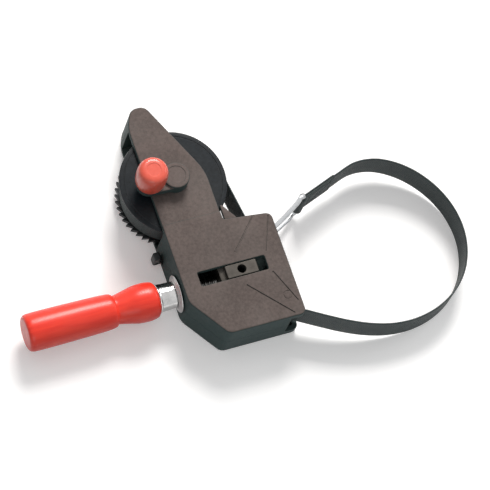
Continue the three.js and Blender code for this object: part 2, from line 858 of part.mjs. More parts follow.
const nut = () =>
  cut(
    block([nutBackX, nutFrontX], [-nutWidth / 2, nutWidth / 2], aroundSpindle(nutWidth / 2)),
    rod(spindleRadius + boreGap, [nutBackX - overrun, nutFrontX + overrun]),
  );

const washer = () =>
  cut(
    rod(washerRadius, [carriageWallFrontX, ringBackX], smallSides),
    rod(neckRadius + boreGap, [carriageWallFrontX - overrun, ringBackX + overrun], smallSides),
  );

// The ring snaps in from one side, so it is open there.
function retainingRing() {
  const along = [ringBackX, ringBackX + ringThickness];
  const open = neckRadius - ringGrooveDepth;
  const hole = rod(open + boreGap, [along[0] - overrun, along[1] + overrun], smallSides);
  const mouth = block(along, [-open, open], [spindleZ, spindleZ + 2 * ringRadius]);
  return cut(rod(ringRadius, along, smallSides), hole, mouth);
}

function spindleCollar() {
  const bore = spindleRadius + boreGap;
  const points = [[0, bore], [0, collarRadius], [collarThickness / 3, collarRadius]];
  points.push([collarThickness, collarRootRadius], [collarThickness, bore], [0, bore]);
  return backwards(turned(points), collarFrontX);
}

function ferrule() {
  const bore = spindleRadius + boreGap;
  const points = [[0, bore], [0, ferruleFrontRadius], [ferruleLength, ferruleBackRadius]];
  points.push([ferruleLength, bore], [0, bore]);
  const pinHole = post(ferrulePinX, 0, ferrulePinRadius + boreGap, [0, bodyHeight], smallSides);
  return cut(backwards(turned(points), collarBackX), pinHole);
}

const ferrulePin = () => post(ferrulePinX, 0, ferrulePinRadius, ferrulePinLevels, smallSides);

// Shares of the handle's length and radius, from the ferrule to its end
const handleShares = [
  [0, 0.86],
  [0.03, 0.97],
  [0.09, 1.02],
  [0.16, 0.99],
  [0.22, 0.9],
  [0.27, 0.82],
  [0.305, 0.77],
  [0.32, 0.765],
  [0.33, 0.86],
  [0.345, 0.9],
  [0.38, 0.93],
  [0.45, 0.955],
  [0.6, 0.98],
  [0.8, 1],
  [0.94, 1],
  [0.98, 0.95],
  [1, 0.8],
];

function handle() {
  const points = handleShares.map(([along, radius]) => [along * handleLength, radius * handleRadius]);
  const bore = spindleRadius + boreGap;
  points.unshift([handleBoreDepth, 0], [handleBoreDepth, bore], [0, bore]);
  points.push([handleLength, 0]);
  return backwards(turned(points), ferruleBackX);
}

// Band

function bandFeed() {
  const lap = wrap(innerStop, feedRun.heading, innerRun.heading, cornerSteps);
  const points = [feedRun.start, ...lap];
  return slab(ribbon(points, bandThickness), [bandLow, bandHigh]);
}

function bandTensionRun() {
  const points = [
    shorten(innerRun.end, innerRun.start, fitGap),
    ...wrap(carriageStop, innerRun.heading, outerRun.heading, 2 * cornerSteps),
    shorten(outerRun.start, outerRun.end, fitGap),
  ];
  return slab(ribbon(points, bandThickness), [bandLow, bandHigh]);
}

const hookAlong = [Math.cos(deg(hookDirectionDeg)), Math.sin(deg(hookDirectionDeg))];
const fromAnchor = (along, across) => [
  anchorX + hookAlong[0] * along - hookAlong[1] * across,
  anchorY + hookAlong[1] * along + hookAlong[0] * across,
];

function loopLine() {
  const lead = wrap(outerStop, outerRun.heading, deg(exitHeadingDeg), 1);
  const points = [...lead, ...loopPoints, fromAnchor(hookReachLength + sewnLength + fitGap, 0)];
  const route = points.map(([x, y]) => new THREE.Vector3(x, y, 0));
  return new THREE.CatmullRomCurve3(route, false, "centripetal").getSpacedPoints(loopSteps);
}

// The loop leaves the head and the hook at their height, and lies on the bench between them.
function dropAt(share) {
  const down = THREE.MathUtils.smoothstep(share, ...dropStartShares);
  return (bandLow - loopRestGap) * down * (1 - THREE.MathUtils.smoothstep(share, ...dropEndShares));
}

function bandLoop() {
  const line = loopLine();
  const flat = new THREE.ExtrudeGeometry(ribbon(line.map(({ x, y }) => [x, y]), bandThickness), {
    depth: bandWidth,
    bevelEnabled: false,
  });
  const place = flat.getAttribute("position");
  for (let i = 0; i < place.count; i++) {
    const here = new THREE.Vector3(place.getX(i), place.getY(i), 0);
    const distances = line.map((point) => point.distanceTo(here));
    const nearest = distances.indexOf(Math.min(...distances));
    place.setZ(i, place.getZ(i) + bandLow - dropAt(nearest / loopSteps));
  }
  return solid(flat);
}

function bandEnd() {
  const inner = hookWireRadius + fitGap;
  const outer = inner + bandThickness;
  const half = sewnThickness / 2;
  const [eyeX, eyeY] = fromAnchor(hookReachLength, 0);
  const strap = polygon([
    fromAnchor(hookReachLength, -half),
    fromAnchor(hookReachLength + sewnLength, -half),
    fromAnchor(hookReachLength + sewnLength, half),
    fromAnchor(hookReachLength, half),
  ]);
  const body = join(post(eyeX, eyeY, outer, [bandLow, bandHigh]), slab(strap, [bandLow, bandHigh]));
  return cut(body, post(eyeX, eyeY, inner, [bandLow - overrun, bandHigh + overrun], smallSides));
}

// One wire: a curl round the anchor pin, a leg out, the bar through the band's eye, and back.
function wireHook() {
  const curlRadius = anchorRadius + fitGap + hookWireRadius;
  const bend = 2 * hookWireRadius;
  const half = [];
  for (let i = 0; i <= 2 * cornerSteps; i++) {
    const angle = deg(hookCurlDeg) * (1 - i / (2 * cornerSteps));
    half.push([-curlRadius * Math.sin(angle), -curlRadius * Math.cos(angle), hookProngHalfWidth]);
  }
  half.push([curlRadius, -curlRadius, hookProngHalfWidth]);
  half.push([hookReachLength - 2 * bend, -curlRadius / 4, hookBarHalfWidth - bend / 4]);
  for (const turn of [0, 30, 60, 90]) {
    const up = hookBarHalfWidth - bend + bend * Math.cos(deg(turn));
    half.push([hookReachLength - bend + bend * Math.sin(deg(turn)), 0, up]);
  }
  half.push([hookReachLength, 0, hookBarHalfWidth - bend - fitGap]);
  const mirrored = half.map(([along, across, up]) => [along, across, -up]).reverse();
  const points = [...half, ...mirrored].map(
    ([along, across, up]) => new THREE.Vector3(...fromAnchor(along, across), bandMid + up),
  );
  const section = new THREE.Shape().absarc(0, 0, hookWireRadius, 0, 2 * Math.PI);
  const wire = new THREE.ExtrudeGeometry(section, {
    steps: hookSteps,
    extrudePath: new THREE.CatmullRomCurve3(points, false, "centripetal"),
    curveSegments: wireSides / 2,
  });
  return solid(wire);
}

// Assembly

const looks = {
  plastic: [0x2a2b29, 0.62, 0],
  darkPlastic: [0x1c1f1f, 0.55, 0],
  band: [0x1f2928, 0.85, 0],
  steel: [0x9a9da0, 0.35, 1],
  zinc: [0xc3c7c9, 0.3, 1],
  chrome: [0xdfe3e6, 0.12, 1],
  brass: [0xb59a55, 0.35, 1],
  cast: [0x8d8b88, 0.5, 1],
  red: [0xd2382c, 0.25, 0],
};

const clamp = new THREE.Group();

function add(name, body, look) {
  const [color, roughness, metalness] = looks[look];
  const mesh = new THREE.Mesh(surface(body), new THREE.MeshStandardMaterial({ color, roughness, metalness }));
  mesh.name = name;
  clamp.add(mesh);
}

add("housing_bottom", housingBottom(), "plastic");
add("housing_top", housingTop(), "plastic");
screwPlaces.forEach((place, i) => add(`housing_screw_${i + 1}`, housingScrew(place), "steel"));
const pinNames = ["guide_pin_inner", "guide_pin_outer", "anchor_pin", "pawl_pin"];
pinNames.forEach((name, i) => add(name, dowel(pinPlaces[i]), "steel"));
add("guide_roller_inner", roller(innerGuideX, innerGuideY, guideRadius, guidePinRadius), "steel");
add("guide_roller_outer", roller(outerGuideX, outerGuideY, guideRadius, guidePinRadius), "steel");
add("reel_shaft", reelShaft(), "steel");
add("ratchet_wheel", ratchetWheel(), "steel");
add("reel_core", reelCore(), "darkPlastic");
add("reel_flange", reelFlange(), "darkPlastic");
add("band_roll", bandRoll(), "band");
add("band_outer_turn", bandOuterTurn(), "band");
add("crank_arm", crankArm(), "plastic");
add("crank_screw", crankScrew(), "steel");
add("knob_pin", knobPin(), "steel");
add("crank_knob", crankKnob(), "red");
add("pawl", pawl(), "steel");
add("pawl_spring", pawlSpring(), "steel");
add("carriage", carriage(), "cast");
add("carriage_pin", carriagePin(), "steel");
add("carriage_roller", roller(rollerX, 0, rollerRadius, carriagePinRadius), "steel");
add("spindle", spindle(), "steel");
add("spindle_nut", nut(), "brass");
add("thrust_washer", washer(), "steel");
add("retaining_ring", retainingRing(), "steel");
add("spindle_collar", spindleCollar(), "chrome");
add("ferrule", ferrule(), "chrome");
add("ferrule_pin", ferrulePin(), "steel");
add("handle", handle(), "red");
add("band_feed", bandFeed(), "band");
add("band_tension_run", bandTensionRun(), "band");
add("band_loop", bandLoop(), "band");
add("band_end", bandEnd(), "band");
add("wire_hook", wireHook(), "zinc");

export default clamp;
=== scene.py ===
"""Ratchet band clamp: the fine surfaces, materials, light and camera of one bench clamp.

A black moulded housing holds a band reel on its arm and a screw-driven carriage in its head. The band runs
from the reel over guide rollers, out round the work, and back to a wire hook at the head's other corner.

Lengths in shaders, the camera and the lamps are metres.
"""
import json
import logging
import math
from dataclasses import dataclass
from enum import Enum
from typing import Callable, Sequence

import bmesh
import bpy
import numpy as np
from bpy.types import Material, Mesh, Node, NodeTree, Object
from bpy.types import NodeSocket as Socket
from mathutils import Matrix, Vector
from mathutils.geometry import delaunay_2d_cdt

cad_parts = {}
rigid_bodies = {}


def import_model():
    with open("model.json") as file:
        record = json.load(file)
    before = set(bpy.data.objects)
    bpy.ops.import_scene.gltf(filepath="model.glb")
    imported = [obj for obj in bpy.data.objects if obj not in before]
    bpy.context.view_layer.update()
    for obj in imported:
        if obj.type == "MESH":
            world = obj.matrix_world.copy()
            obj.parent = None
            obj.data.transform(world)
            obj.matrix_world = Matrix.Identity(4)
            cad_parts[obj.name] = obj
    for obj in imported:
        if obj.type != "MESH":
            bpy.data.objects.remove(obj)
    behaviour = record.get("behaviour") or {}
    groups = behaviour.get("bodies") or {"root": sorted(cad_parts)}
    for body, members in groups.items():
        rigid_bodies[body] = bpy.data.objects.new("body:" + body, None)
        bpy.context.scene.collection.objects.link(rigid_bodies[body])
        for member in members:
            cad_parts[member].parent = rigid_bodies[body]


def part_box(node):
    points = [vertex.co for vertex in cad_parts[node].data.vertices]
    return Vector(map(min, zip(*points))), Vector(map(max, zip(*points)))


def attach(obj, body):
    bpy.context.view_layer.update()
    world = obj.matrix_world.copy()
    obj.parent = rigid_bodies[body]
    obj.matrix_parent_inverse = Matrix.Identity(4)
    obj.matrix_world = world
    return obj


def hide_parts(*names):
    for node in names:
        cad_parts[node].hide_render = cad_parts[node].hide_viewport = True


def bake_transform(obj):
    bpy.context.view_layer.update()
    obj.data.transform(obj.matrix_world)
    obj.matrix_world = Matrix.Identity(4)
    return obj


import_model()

log = logging.getLogger("band_clamp")

Array = np.ndarray
Point = tuple[float, float]
Triple = tuple[float, float, float]
Colour = tuple[float, float, float, float]
Sockets = dict[str, Socket]

MM = 0.001
TURN = 2 * math.pi
# Angles in degrees above which an edge stays sharp, on cut pieces, turned ones, and band and wire
CREASE = 32.0
ROUND = 40.0
SOFT = 60.0


# Boxes of the frame


@dataclass(frozen=True)
class Box:
    """A CAD node's box at rest, by its lowest and highest corner."""

    low: Array
    high: Array

    @classmethod
    def of(cls, node: str) -> "Box":
        """Reads a node's box from the frame, in millimetres."""
        low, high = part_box(node)
        return cls(np.array(low) / MM, np.array(high) / MM)

    @property
    def middle(self) -> Array:
        """The box's middle."""
        return (self.low + self.high) / 2

    @property
    def radius(self) -> float:
        """Half of the box's width in Y."""
        return float(self.high[1] - self.low[1]) / 2

    @property
    def x(self) -> Point:
        """The box's ends in X."""
        return float(self.low[0]), float(self.high[0])

    @property
    def z(self) -> Point:
        """The box's lowest and highest Z."""
        return float(self.low[2]), float(self.high[2])


# Outlines and lines


def unit(vectors: Array) -> Array:
    """The same vectors with the length one."""
    return vectors / np.linalg.norm(vectors, axis=-1, keepdims=True)


def left_of(vectors: Array) -> Array:
    """Flat vectors turned by a quarter to the left."""
    return np.column_stack((-vectors[:, 1], vectors[:, 0]))


def round_angles(count: int) -> Array:
    """The angles of evenly spaced points round a circle."""
    return np.arange(count) * TURN / count


def polar(centre: Point, radius: float | Array, angle: float | Array) -> Array:
    """Points about a centre: (x + r cos a, y + r sin a)."""
    return np.stack((centre[0] + radius * np.cos(angle), centre[1] + radius * np.sin(angle)), axis=-1)


def circle(centre: Point, radius: float, sides: int = 64) -> Array:
    """A round outline, counter-clockwise."""
    return polar(centre, radius, round_angles(sides))


def rounded_loop(corners: Sequence[Triple], steps: int = 10) -> Array:
    """A closed outline with a curve at each corner.

    Each corner (x, y, r) becomes the quadratic curve B(t) = (1-t)^2 A + 2t(1-t) P + t^2 C, where P is the
    corner and A and C lie r from it on its two edges.

    Args:
        corners: X, Y and radius of each corner, counter-clockwise.
        steps: the stretches in each corner's curve.

    Returns:
        The outline's points.
    """
    share = np.linspace(0, 1, steps + 1)[:, None]
    loop = []
    for i, (x, y, radius) in enumerate(corners):
        here = np.array([x, y])
        others = np.array([corners[i - 1][:2], corners[(i + 1) % len(corners)][:2]])
        start, end = here + unit(others - here) * radius
        curve = (1 - share) ** 2 * start + 2 * share * (1 - share) * here + share**2 * end
        loop.append(curve if radius else here[None])
    return np.vstack(loop)


def rectangle(x: Point, y: Point, radius: float = 0) -> Array:
    """A rectangle's outline by its ends in X and Y and its corners' radius, counter-clockwise."""
    places = ((x[0], y[0]), (x[1], y[0]), (x[1], y[1]), (x[0], y[1]))
    return rounded_loop([(*place, radius) for place in places], 6)


def inward(loop: Array, distance: float) -> Array:
    """An outline drawn in by a distance along the mean of each point's two edge normals.

    Args:
        loop: the outline, counter-clockwise.
        distance: how far each edge moves in; below zero it moves out.

    Returns:
        The new outline, point for point.
    """
    back = unit(loop - np.roll(loop, 1, axis=0))
    ahead = unit(np.roll(loop, -1, axis=0) - loop)
    normal = unit(left_of(back + ahead))
    lean = np.clip((normal * left_of(back)).sum(axis=1, keepdims=True), 0.5, 1)
    return loop + normal * distance / lean


def wall(low: float, high: float, low_round: float = 0, high_round: float = 0, steps: int = 4) -> list[Point]:
    """The profile of a wall with quarter-round edges.

    At the top edge the wall moves in by r(1 - cos t) while it rises to high - r(1 - sin t), and the bottom
    edge mirrors that. A radius below zero flares outward, which rounds the rim of a hole that it cuts.

    Args:
        low: its lowest Z.
        high: its highest Z.
        low_round: the bottom edge's radius.
        high_round: the top edge's radius.
        steps: the stretches in each rounded edge.

    Returns:
        (inset, z) pairs from low to high.
    """
    turn = np.linspace(0, math.pi / 2, steps + 1)
    bottom = [(low_round * (1 - math.sin(t)), low + abs(low_round) * (1 - math.cos(t))) for t in turn]
    top = [(high_round * (1 - math.cos(t)), high - abs(high_round) * (1 - math.sin(t))) for t in turn]
    return (bottom if low_round else bottom[:1]) + (top if high_round else top[:1])


def distances(points: Array) -> Array:
    """The way travelled along a line at each of its points, from zero."""
    return np.concatenate(([0], np.cumsum(np.linalg.norm(np.diff(points, axis=0), axis=1))))


def spaced(points: Array, count: int) -> Array:
    """The same line with a number of evenly spaced points.

    Args:
        points: the line's points.
        count: the number of points wanted.

    Returns:
        The new points.
    """
    travelled = distances(points)
    wanted = np.linspace(0, travelled[-1], count)
    return np.column_stack([np.interp(wanted, travelled, axis) for axis in points.T])


def curve_through(points: Array, count: int) -> Array:
    """A centripetal Catmull-Rom curve at evenly spaced points.

    Each stretch between P1 and P2 is the cubic with tangents from knots t_(i+1) = t_i + |P_(i+1) - P_i|^0.5,
    and the curve's own length spaces the result.

    Args:
        points: the points to pass through, one row each.
        count: the number of points wanted.

    Returns:
        The curve's points.
    """
    padded = np.vstack((2 * points[0] - points[1], points, 2 * points[-1] - points[-2]))
    share = np.linspace(0, 1, 41)[:-1, None]
    fine = []
    for p0, p1, p2, p3 in zip(padded, padded[1:], padded[2:], padded[3:]):
        d0, d1, d2 = (max(np.linalg.norm(b - a) ** 0.5, 1e-4) for a, b in ((p0, p1), (p1, p2), (p2, p3)))
        t1 = ((p1 - p0) / d0 - (p2 - p0) / (d0 + d1) + (p2 - p1) / d1) * d1
        t2 = ((p2 - p1) / d1 - (p3 - p1) / (d1 + d2) + (p3 - p2) / d2) * d1
        square, cube = -3 * p1 + 3 * p2 - 2 * t1 - t2, 2 * p1 - 2 * p2 + t1 + t2
        fine.append(p1 + t1 * share + square * share**2 + cube * share**3)
    return spaced(np.vstack((*fine, points[-1:])), count)


def eased(profile: Sequence[Point], count: int) -> list[Point]:
    """A profile made smooth: a number of points on a Catmull-Rom curve through it."""
    return [(a, b) for a, b in curve_through(np.array(profile, dtype=float), count).tolist()]


# Surfaces


@dataclass
class Surface:
    """A mesh under construction.

    Attributes:
        points: one row of X, Y and Z per vertex.
        faces: each face's vertices by number.
        uv: one row of lengths along and across per vertex, for woven band.
    """

    points: Array
    faces: list[tuple[int, ...]]
    uv: Array | None = None

    def moved(self, x: float = 0, y: float = 0, z: float = 0) -> "Surface":
        """The same surface shifted along X, Y and Z."""
        return Surface(self.points + np.array([x, y, z]), self.faces, self.uv)

    def turned(self, axis: str, degrees: float) -> "Surface":
        """The same surface turned about an axis through the origin, by the right-hand rule."""
        turn = np.array(Matrix.Rotation(math.radians(degrees), 3, axis))
        return Surface(self.points @ turn.T, self.faces, self.uv)


def together(parts: Sequence[Surface]) -> Surface:
    """Collects surfaces into one.

    Args:
        parts: the surfaces to collect.

    Returns:
        One surface with all their faces.
    """
    starts = np.cumsum([0] + [len(part.points) for part in parts]).tolist()
    faces = [tuple(v + start for v in face) for part, start in zip(parts, starts) for face in part.faces]
    return Surface(np.vstack([part.points for part in parts]), faces)


def skinned(rings: Array, loop: bool = False) -> Surface:
    """Covers a stack of like rings with quads.

    Args:
        rings: the points, as an array of rings, points to a ring, and three.
        loop: whether the last ring joins the first.

    Returns:
        The surface, open at its ends unless it loops.
    """
    rows, columns = rings.shape[:2]
    row, column = np.indices((rows if loop else rows - 1, columns))
    here, ahead, beside = row * columns, (row + 1) % rows * columns, (column + 1) % columns
    quads = np.stack((here + column, here + beside, ahead + beside, ahead + column), axis=-1)
    return Surface(rings.reshape(-1, 3), [tuple(quad) for quad in quads.reshape(-1, 4).tolist()])


def capped(rings: Array) -> Surface:
    """Covers a stack of like rings with quads and closes its first and last ring.

    Args:
        rings: the points, as an array of rings, points to a ring, and three.

    Returns:
        The closed surface, with its two caps as its last faces.
    """
    surface = skinned(rings)
    count, total = rings.shape[1], len(surface.points)
    surface.faces += [tuple(range(count))[::-1], tuple(range(total - count, total))]
    return surface


def swept(loop: Array, profile: Sequence[Point]) -> Surface:
    """Carries a wall's profile round an outline and closes both ends.

    Ring i is the outline drawn in by profile[i][0], at the height profile[i][1].

    Args:
        loop: the outline, counter-clockwise.
        profile: (inset, z) pairs from the bottom up.

    Returns:
        The closed surface.
    """
    rings = [np.column_stack((inward(loop, inset), np.full(len(loop), z))) for inset, z in profile]
    return capped(np.stack(rings))


def rings_about_z(z: Array, radius: Array, sides: int) -> Array:
    """Rings about the Z axis: ring i's points are (r cos a, r sin a, z_i), with a = 2 pi j / sides."""
    angle = round_angles(sides)
    return np.stack(np.broadcast_arrays(radius * np.cos(angle), radius * np.sin(angle), z[:, None]), axis=-1)


def lathe(profile: Sequence[Point], sides: int = 96, *, hollow: bool = False) -> Surface:
    """Turns (z, r) pairs about the Z axis; a hollow profile closes on itself, as a tube's does."""
    z, radius = np.array(profile, dtype=float).T
    return skinned(rings_about_z(z, radius[:, None], sides), hollow)


def tube(path: Array, radius: float, sides: int = 16) -> Surface:
    """Carries a circle along a line without twist, with domed ends.

    The frame at each point is the last one turned by the least turn that follows the line. The ends close
    with rings of radius r cos t at r sin t beyond the line.

    Args:
        path: the line's points.
        radius: the tube's radius.
        sides: the points round it.

    Returns:
        The closed surface.
    """
    ahead = unit(np.gradient(path, axis=0))
    side = np.cross(ahead[0], [0, 0, 1])
    if np.linalg.norm(side) < 0.1:
        side = np.cross(ahead[0], [1, 0, 0])
    across = []
    for forward in ahead:
        side = unit(side - forward * side.dot(forward))
        across.append(side)
    dome = np.radians([80, 55, 30])
    out = radius * np.sin(dome)[:, None]
    middle = np.vstack((path[0] - ahead[0] * out, path, path[-1] + ahead[-1] * out[::-1]))
    size = np.pad(np.full(len(path), radius), len(dome))
    size[:len(dome)], size[-len(dome):] = radius * np.cos(dome), radius * np.cos(dome[::-1])
    forward, across = (np.pad(rows, ((len(dome),) * 2, (0, 0)), "edge") for rows in (ahead, across))
    first, second = across[:, None], np.cross(forward, across)[:, None]
    angle = round_angles(sides)[:, None]
    return capped(middle[:, None] + size[:, None, None] * (np.cos(angle) * first + np.sin(angle) * second))


BAND_WIDTH = 25.0
BAND_THICK = 1.2
SELVEDGE = 0.4


def strap(path: Array, rows: int = 7, start: float = 0, width: float = BAND_WIDTH) -> Surface:
    """A woven band on edge along a line, with soft selvedges.

    Its section is P + n s t/2 + z v, where n is the line's side normal, v runs over the width and s is 1 but
    falls to SELVEDGE at the edges.

    Args:
        path: the middle line's points, X, Y and Z.
        rows: the points over its width.
        start: the way along the band at the line's start, for the weave.
        width: the band's width, along Z.

    Returns:
        The closed surface, with lengths along and across as its uv.
    """
    normal = np.column_stack((left_of(unit(np.gradient(path[:, :2], axis=0))), np.zeros(len(path))))
    half, edge = width / 2, BAND_THICK * SELVEDGE
    across = np.concatenate(([-half], np.linspace(edge - half, half - edge, rows), [half]))
    full = np.concatenate(([SELVEDGE], np.ones(rows), [SELVEDGE])) * BAND_THICK / 2
    offset, height = np.concatenate((full, -full[::-1])), np.concatenate((across, across[::-1]))
    up = np.array([0, 0, 1]) * height[:, None]
    surface = capped(path[:, None] + normal[:, None] * offset[:, None] + up)
    lengths = np.meshgrid(distances(path) + start, height, indexing="ij")
    surface.uv = np.stack(lengths, axis=-1).reshape(-1, 2)
    return surface


# Meshes


def smooth(mesh: Mesh, crease: float) -> None:
    """Shades a mesh smooth but for edges that turn by more than a number of degrees."""
    mesh.shade_smooth()
    mesh.set_sharp_from_angle(angle=math.radians(crease))


def build_mesh(name: str, surface: Surface, crease: float = CREASE) -> Mesh:
    """Makes a mesh of a surface: doubles merged, faces out, sharp where it creases.

    Args:
        name: the mesh's name.
        surface: its surface in millimetres.
        crease: the angle in degrees above which an edge stays sharp.

    Returns:
        The mesh, in metres.
    """
    mesh = bpy.data.meshes.new(name)
    mesh.from_pydata((surface.points * MM).tolist(), [], surface.faces)
    if surface.uv is not None:
        corners = np.array([v for face in surface.faces for v in face])
        mesh.uv_layers.new(name="lengths").data.foreach_set("uv", (surface.uv[corners] * MM).ravel())
    work = bmesh.new()
    work.from_mesh(mesh)
    bmesh.ops.remove_doubles(work, verts=work.verts, dist=1e-7)
    bmesh.ops.recalc_face_normals(work, faces=work.faces)
    work.to_mesh(mesh)
    work.free()
    smooth(mesh, crease)
    return mesh


def carved(name: str, body: Surface, cutters: Sequence[Surface], at: Triple = (0, 0, 0)) -> Mesh:
    """Cuts surfaces out of a body, one after another.

    Args:
        name: the new mesh's name.
        body: the closed surface that is cut.
        cutters: the closed surfaces to take away.
        at: how far the result is moved, in millimetres.

    Returns:
        The cut mesh, in metres.
    """
    objects, link = bpy.data.objects, bpy.context.scene.collection.objects.link
    piece = objects.new(name, build_mesh(name, body))
    link(piece)
    for i, cutter in enumerate(cutters):
        tool = objects.new(f"{name}_cut_{i}", build_mesh(f"{name}_cut_{i}", cutter))
        link(tool)
        cut = piece.modifiers.new("cut", "BOOLEAN")
        cut.operation, cut.solver, cut.object = "DIFFERENCE", "EXACT", tool
        graph = bpy.context.evaluated_depsgraph_get()
        result = bpy.data.meshes.new_from_object(piece.evaluated_get(graph))
        piece.modifiers.clear()
        piece.data = result
        objects.remove(tool)
    mesh = piece.data
    objects.remove(piece)
    mesh.name = name
    mesh.transform(Matrix.Translation(Vector(at) * MM))
    smooth(mesh, CREASE)
    return mesh


# Shader helpers


class Nodes:
    """Adds and links the nodes of one tree.

    Attributes:
        tree: the node tree.
    """

    def __init__(self, tree: NodeTree) -> None:
        """Takes a tree and empties it."""
        self.tree = tree
        tree.nodes.clear()

    def add(self, kind: str, inputs: dict | None = None, **settings: object) -> Node:
        """Adds a node.

        Args:
            kind: its type's name.
            inputs: values or sockets by the input's name or number.
            settings: the node's own settings.

        Returns:
            The node.
        """
        made = self.tree.nodes.new(kind)
        for key, value in settings.items():
            setattr(made, key, value)
        for key, value in (inputs or {}).items():
            if isinstance(value, Socket):
                self.tree.links.new(value, made.inputs[key])
            else:
                made.inputs[key].default_value = value
        return made

    def use(self, group: NodeTree, **inputs: object) -> Sequence[Socket]:
        """Adds a shared group with some values or sockets, and gives its outputs."""
        return self.add("ShaderNodeGroup", inputs, node_tree=group).outputs

    def math(self, operation: str, *values: object) -> Socket:
        """One sum of up to three numbers or sockets, by the sum's name."""
        return self.add("ShaderNodeMath", dict(enumerate(values)), operation=operation).outputs[0]

    def product(self, first: object, second: object) -> Socket:
        """Two numbers or sockets multiplied."""
        return self.math("MULTIPLY", first, second)

    def weighed(self, *terms: tuple[Socket, float]) -> Socket:
        """The sum of sockets, each times its weight.

        Args:
            terms: (socket, weight) pairs.

        Returns:
            The sum's socket.
        """
        total = self.product(*terms[0])
        for term in terms[1:]:
            total = self.math("ADD", total, self.product(*term))
        return total

    def ramp(self, value: Socket, low: float, high: float, to_low: float = 0, to_high: float = 1) -> Socket:
        """Stretches the range from low to high over that from to_low to to_high, and stops at its ends."""
        inputs = {"Value": value, "From Min": low, "From Max": high, "To Min": to_low, "To Max": to_high}
        return self.add("ShaderNodeMapRange", inputs).outputs["Result"]

    def blend(self, share: object, first: object, second: object) -> Socket:
        """Mixes two colours or sockets; share is how much of the second."""
        return self.add("ShaderNodeMix", {0: share, 6: first, 7: second}, data_type="RGBA").outputs[2]

    def noise(self, scale: float, place: Socket = None, detail: float = 3, rough: float = 0.5) -> Socket:
        """Adds a noise texture.

        Args:
            scale: its waves per metre.
            place: where it is read; the object's own place if left out.
            detail: its octaves.
            rough: how strong the finer octaves are.

        Returns:
            The noise's socket, from 0 to 1.
        """
        inputs = {"Vector": place or self.place(), "Scale": scale, "Detail": detail, "Roughness": rough}
        return self.add("ShaderNodeTexNoise", inputs).outputs["Fac"]

    def place(self, stretch: Triple | None = None) -> Socket:
        """The object's own place of a shaded point, with a factor for each axis if wanted."""
        place = self.add("ShaderNodeTexCoord").outputs["Object"]
        return self.add("ShaderNodeMapping", {0: place, "Scale": stretch}).outputs[0] if stretch else place

    def normal(self) -> Socket:
        """The surface's normal."""
        return self.add("ShaderNodeNewGeometry").outputs["Normal"]

    def parts(self, vector: Socket) -> Sequence[Socket]:
        """A vector's X, Y and Z."""
        return self.add("ShaderNodeSeparateXYZ", {0: vector}).outputs

    def bevel(self, radius: float | Socket) -> Socket:
        """The normal with edges rounded by a radius in metres."""
        return self.add("ShaderNodeBevel", {"Radius": radius}, samples=4).outputs[0]

    def relief(self, height: Socket, depth: float, edge: float = 0) -> Socket:
        """Makes a normal for a relief.

        Args:
            height: the relief, about 0 to 1.
            depth: its height in metres.
            edge: the radius in metres of the rounded edges under it.

        Returns:
            The normal's socket.
        """
        inputs = {"Height": height, "Distance": depth, "Strength": 1.0}
        if edge:
            inputs["Normal"] = self.bevel(edge)
        return self.add("ShaderNodeBump", inputs).outputs[0]


def shared_group(make: Callable[[Nodes, Sockets], Sockets], **inputs: float) -> NodeTree:
    """Makes a shader group that materials share.

    Args:
        make: adds its nodes, from its builder and its input sockets, and gives its outputs.
        inputs: its inputs and their values.

    Returns:
        The group, named as make is.
    """
    group = bpy.data.node_groups.new(make.__name__, "ShaderNodeTree")
    kind = "NodeSocketFloat"
    for key, value in inputs.items():
        group.interface.new_socket(name=key, in_out="INPUT", socket_type=kind).default_value = value
    build = Nodes(group)
    enter = build.add("NodeGroupInput")
    outputs = make(build, {key: enter.outputs[key] for key in inputs})
    for key in outputs:
        group.interface.new_socket(name=key, in_out="OUTPUT", socket_type=kind)
    build.add("NodeGroupOutput", outputs)
    return group


def rubbed_edges(build: Nodes, given: Sockets) -> Sockets:
    """Where an edge is rubbed: the bevelled normal leans from the plain one, broken up by noise.

    Args:
        build: the group's builder.
        given: Radius in metres, and Breakup, how much of the edge the noise takes away.

    Returns:
        Mask, from 0 to 1.
    """
    normals = {0: build.bevel(given["Radius"]), 1: build.normal()}
    lean = build.add("ShaderNodeVectorMath", normals, operation="DOT_PRODUCT")
    edge = build.ramp(build.math("SUBTRACT", 1.0, lean.outputs["Value"]), 0.02, 0.16)
    patch = build.ramp(build.noise(260, detail=4), 0.38, 0.66)
    whole = build.math("SUBTRACT", 1.0, given["Breakup"])
    broken = build.math("MULTIPLY_ADD", patch, given["Breakup"], whole)
    return {"Mask": build.product(edge, broken)}


def moulded_grain(build: Nodes, given: Sockets) -> Sockets:
    """The skin of moulded plastic: fine grain over a slow, shallow unevenness.

    Args:
        build: the group's builder.
        given: Scale, a factor on the grain's fineness.

    Returns:
        Height and Tone, from 0 to 1.
    """
    scaled = {0: build.place(), "Scale": given["Scale"]}
    where = build.add("ShaderNodeVectorMath", scaled, operation="SCALE").outputs[0]
    pits = build.add("ShaderNodeTexVoronoi", {"Vector": where, "Scale": 1500.0}).outputs["Distance"]
    fine, slow, mottle = build.noise(2600, where, 2), build.noise(34, where), build.noise(420, where, 5, 0.65)
    height = build.weighed((fine, 0.5), (pits, 0.5), (slow, 0.35))
    return {"Height": height, "Tone": build.weighed((slow, 0.35), (mottle, 0.65))}


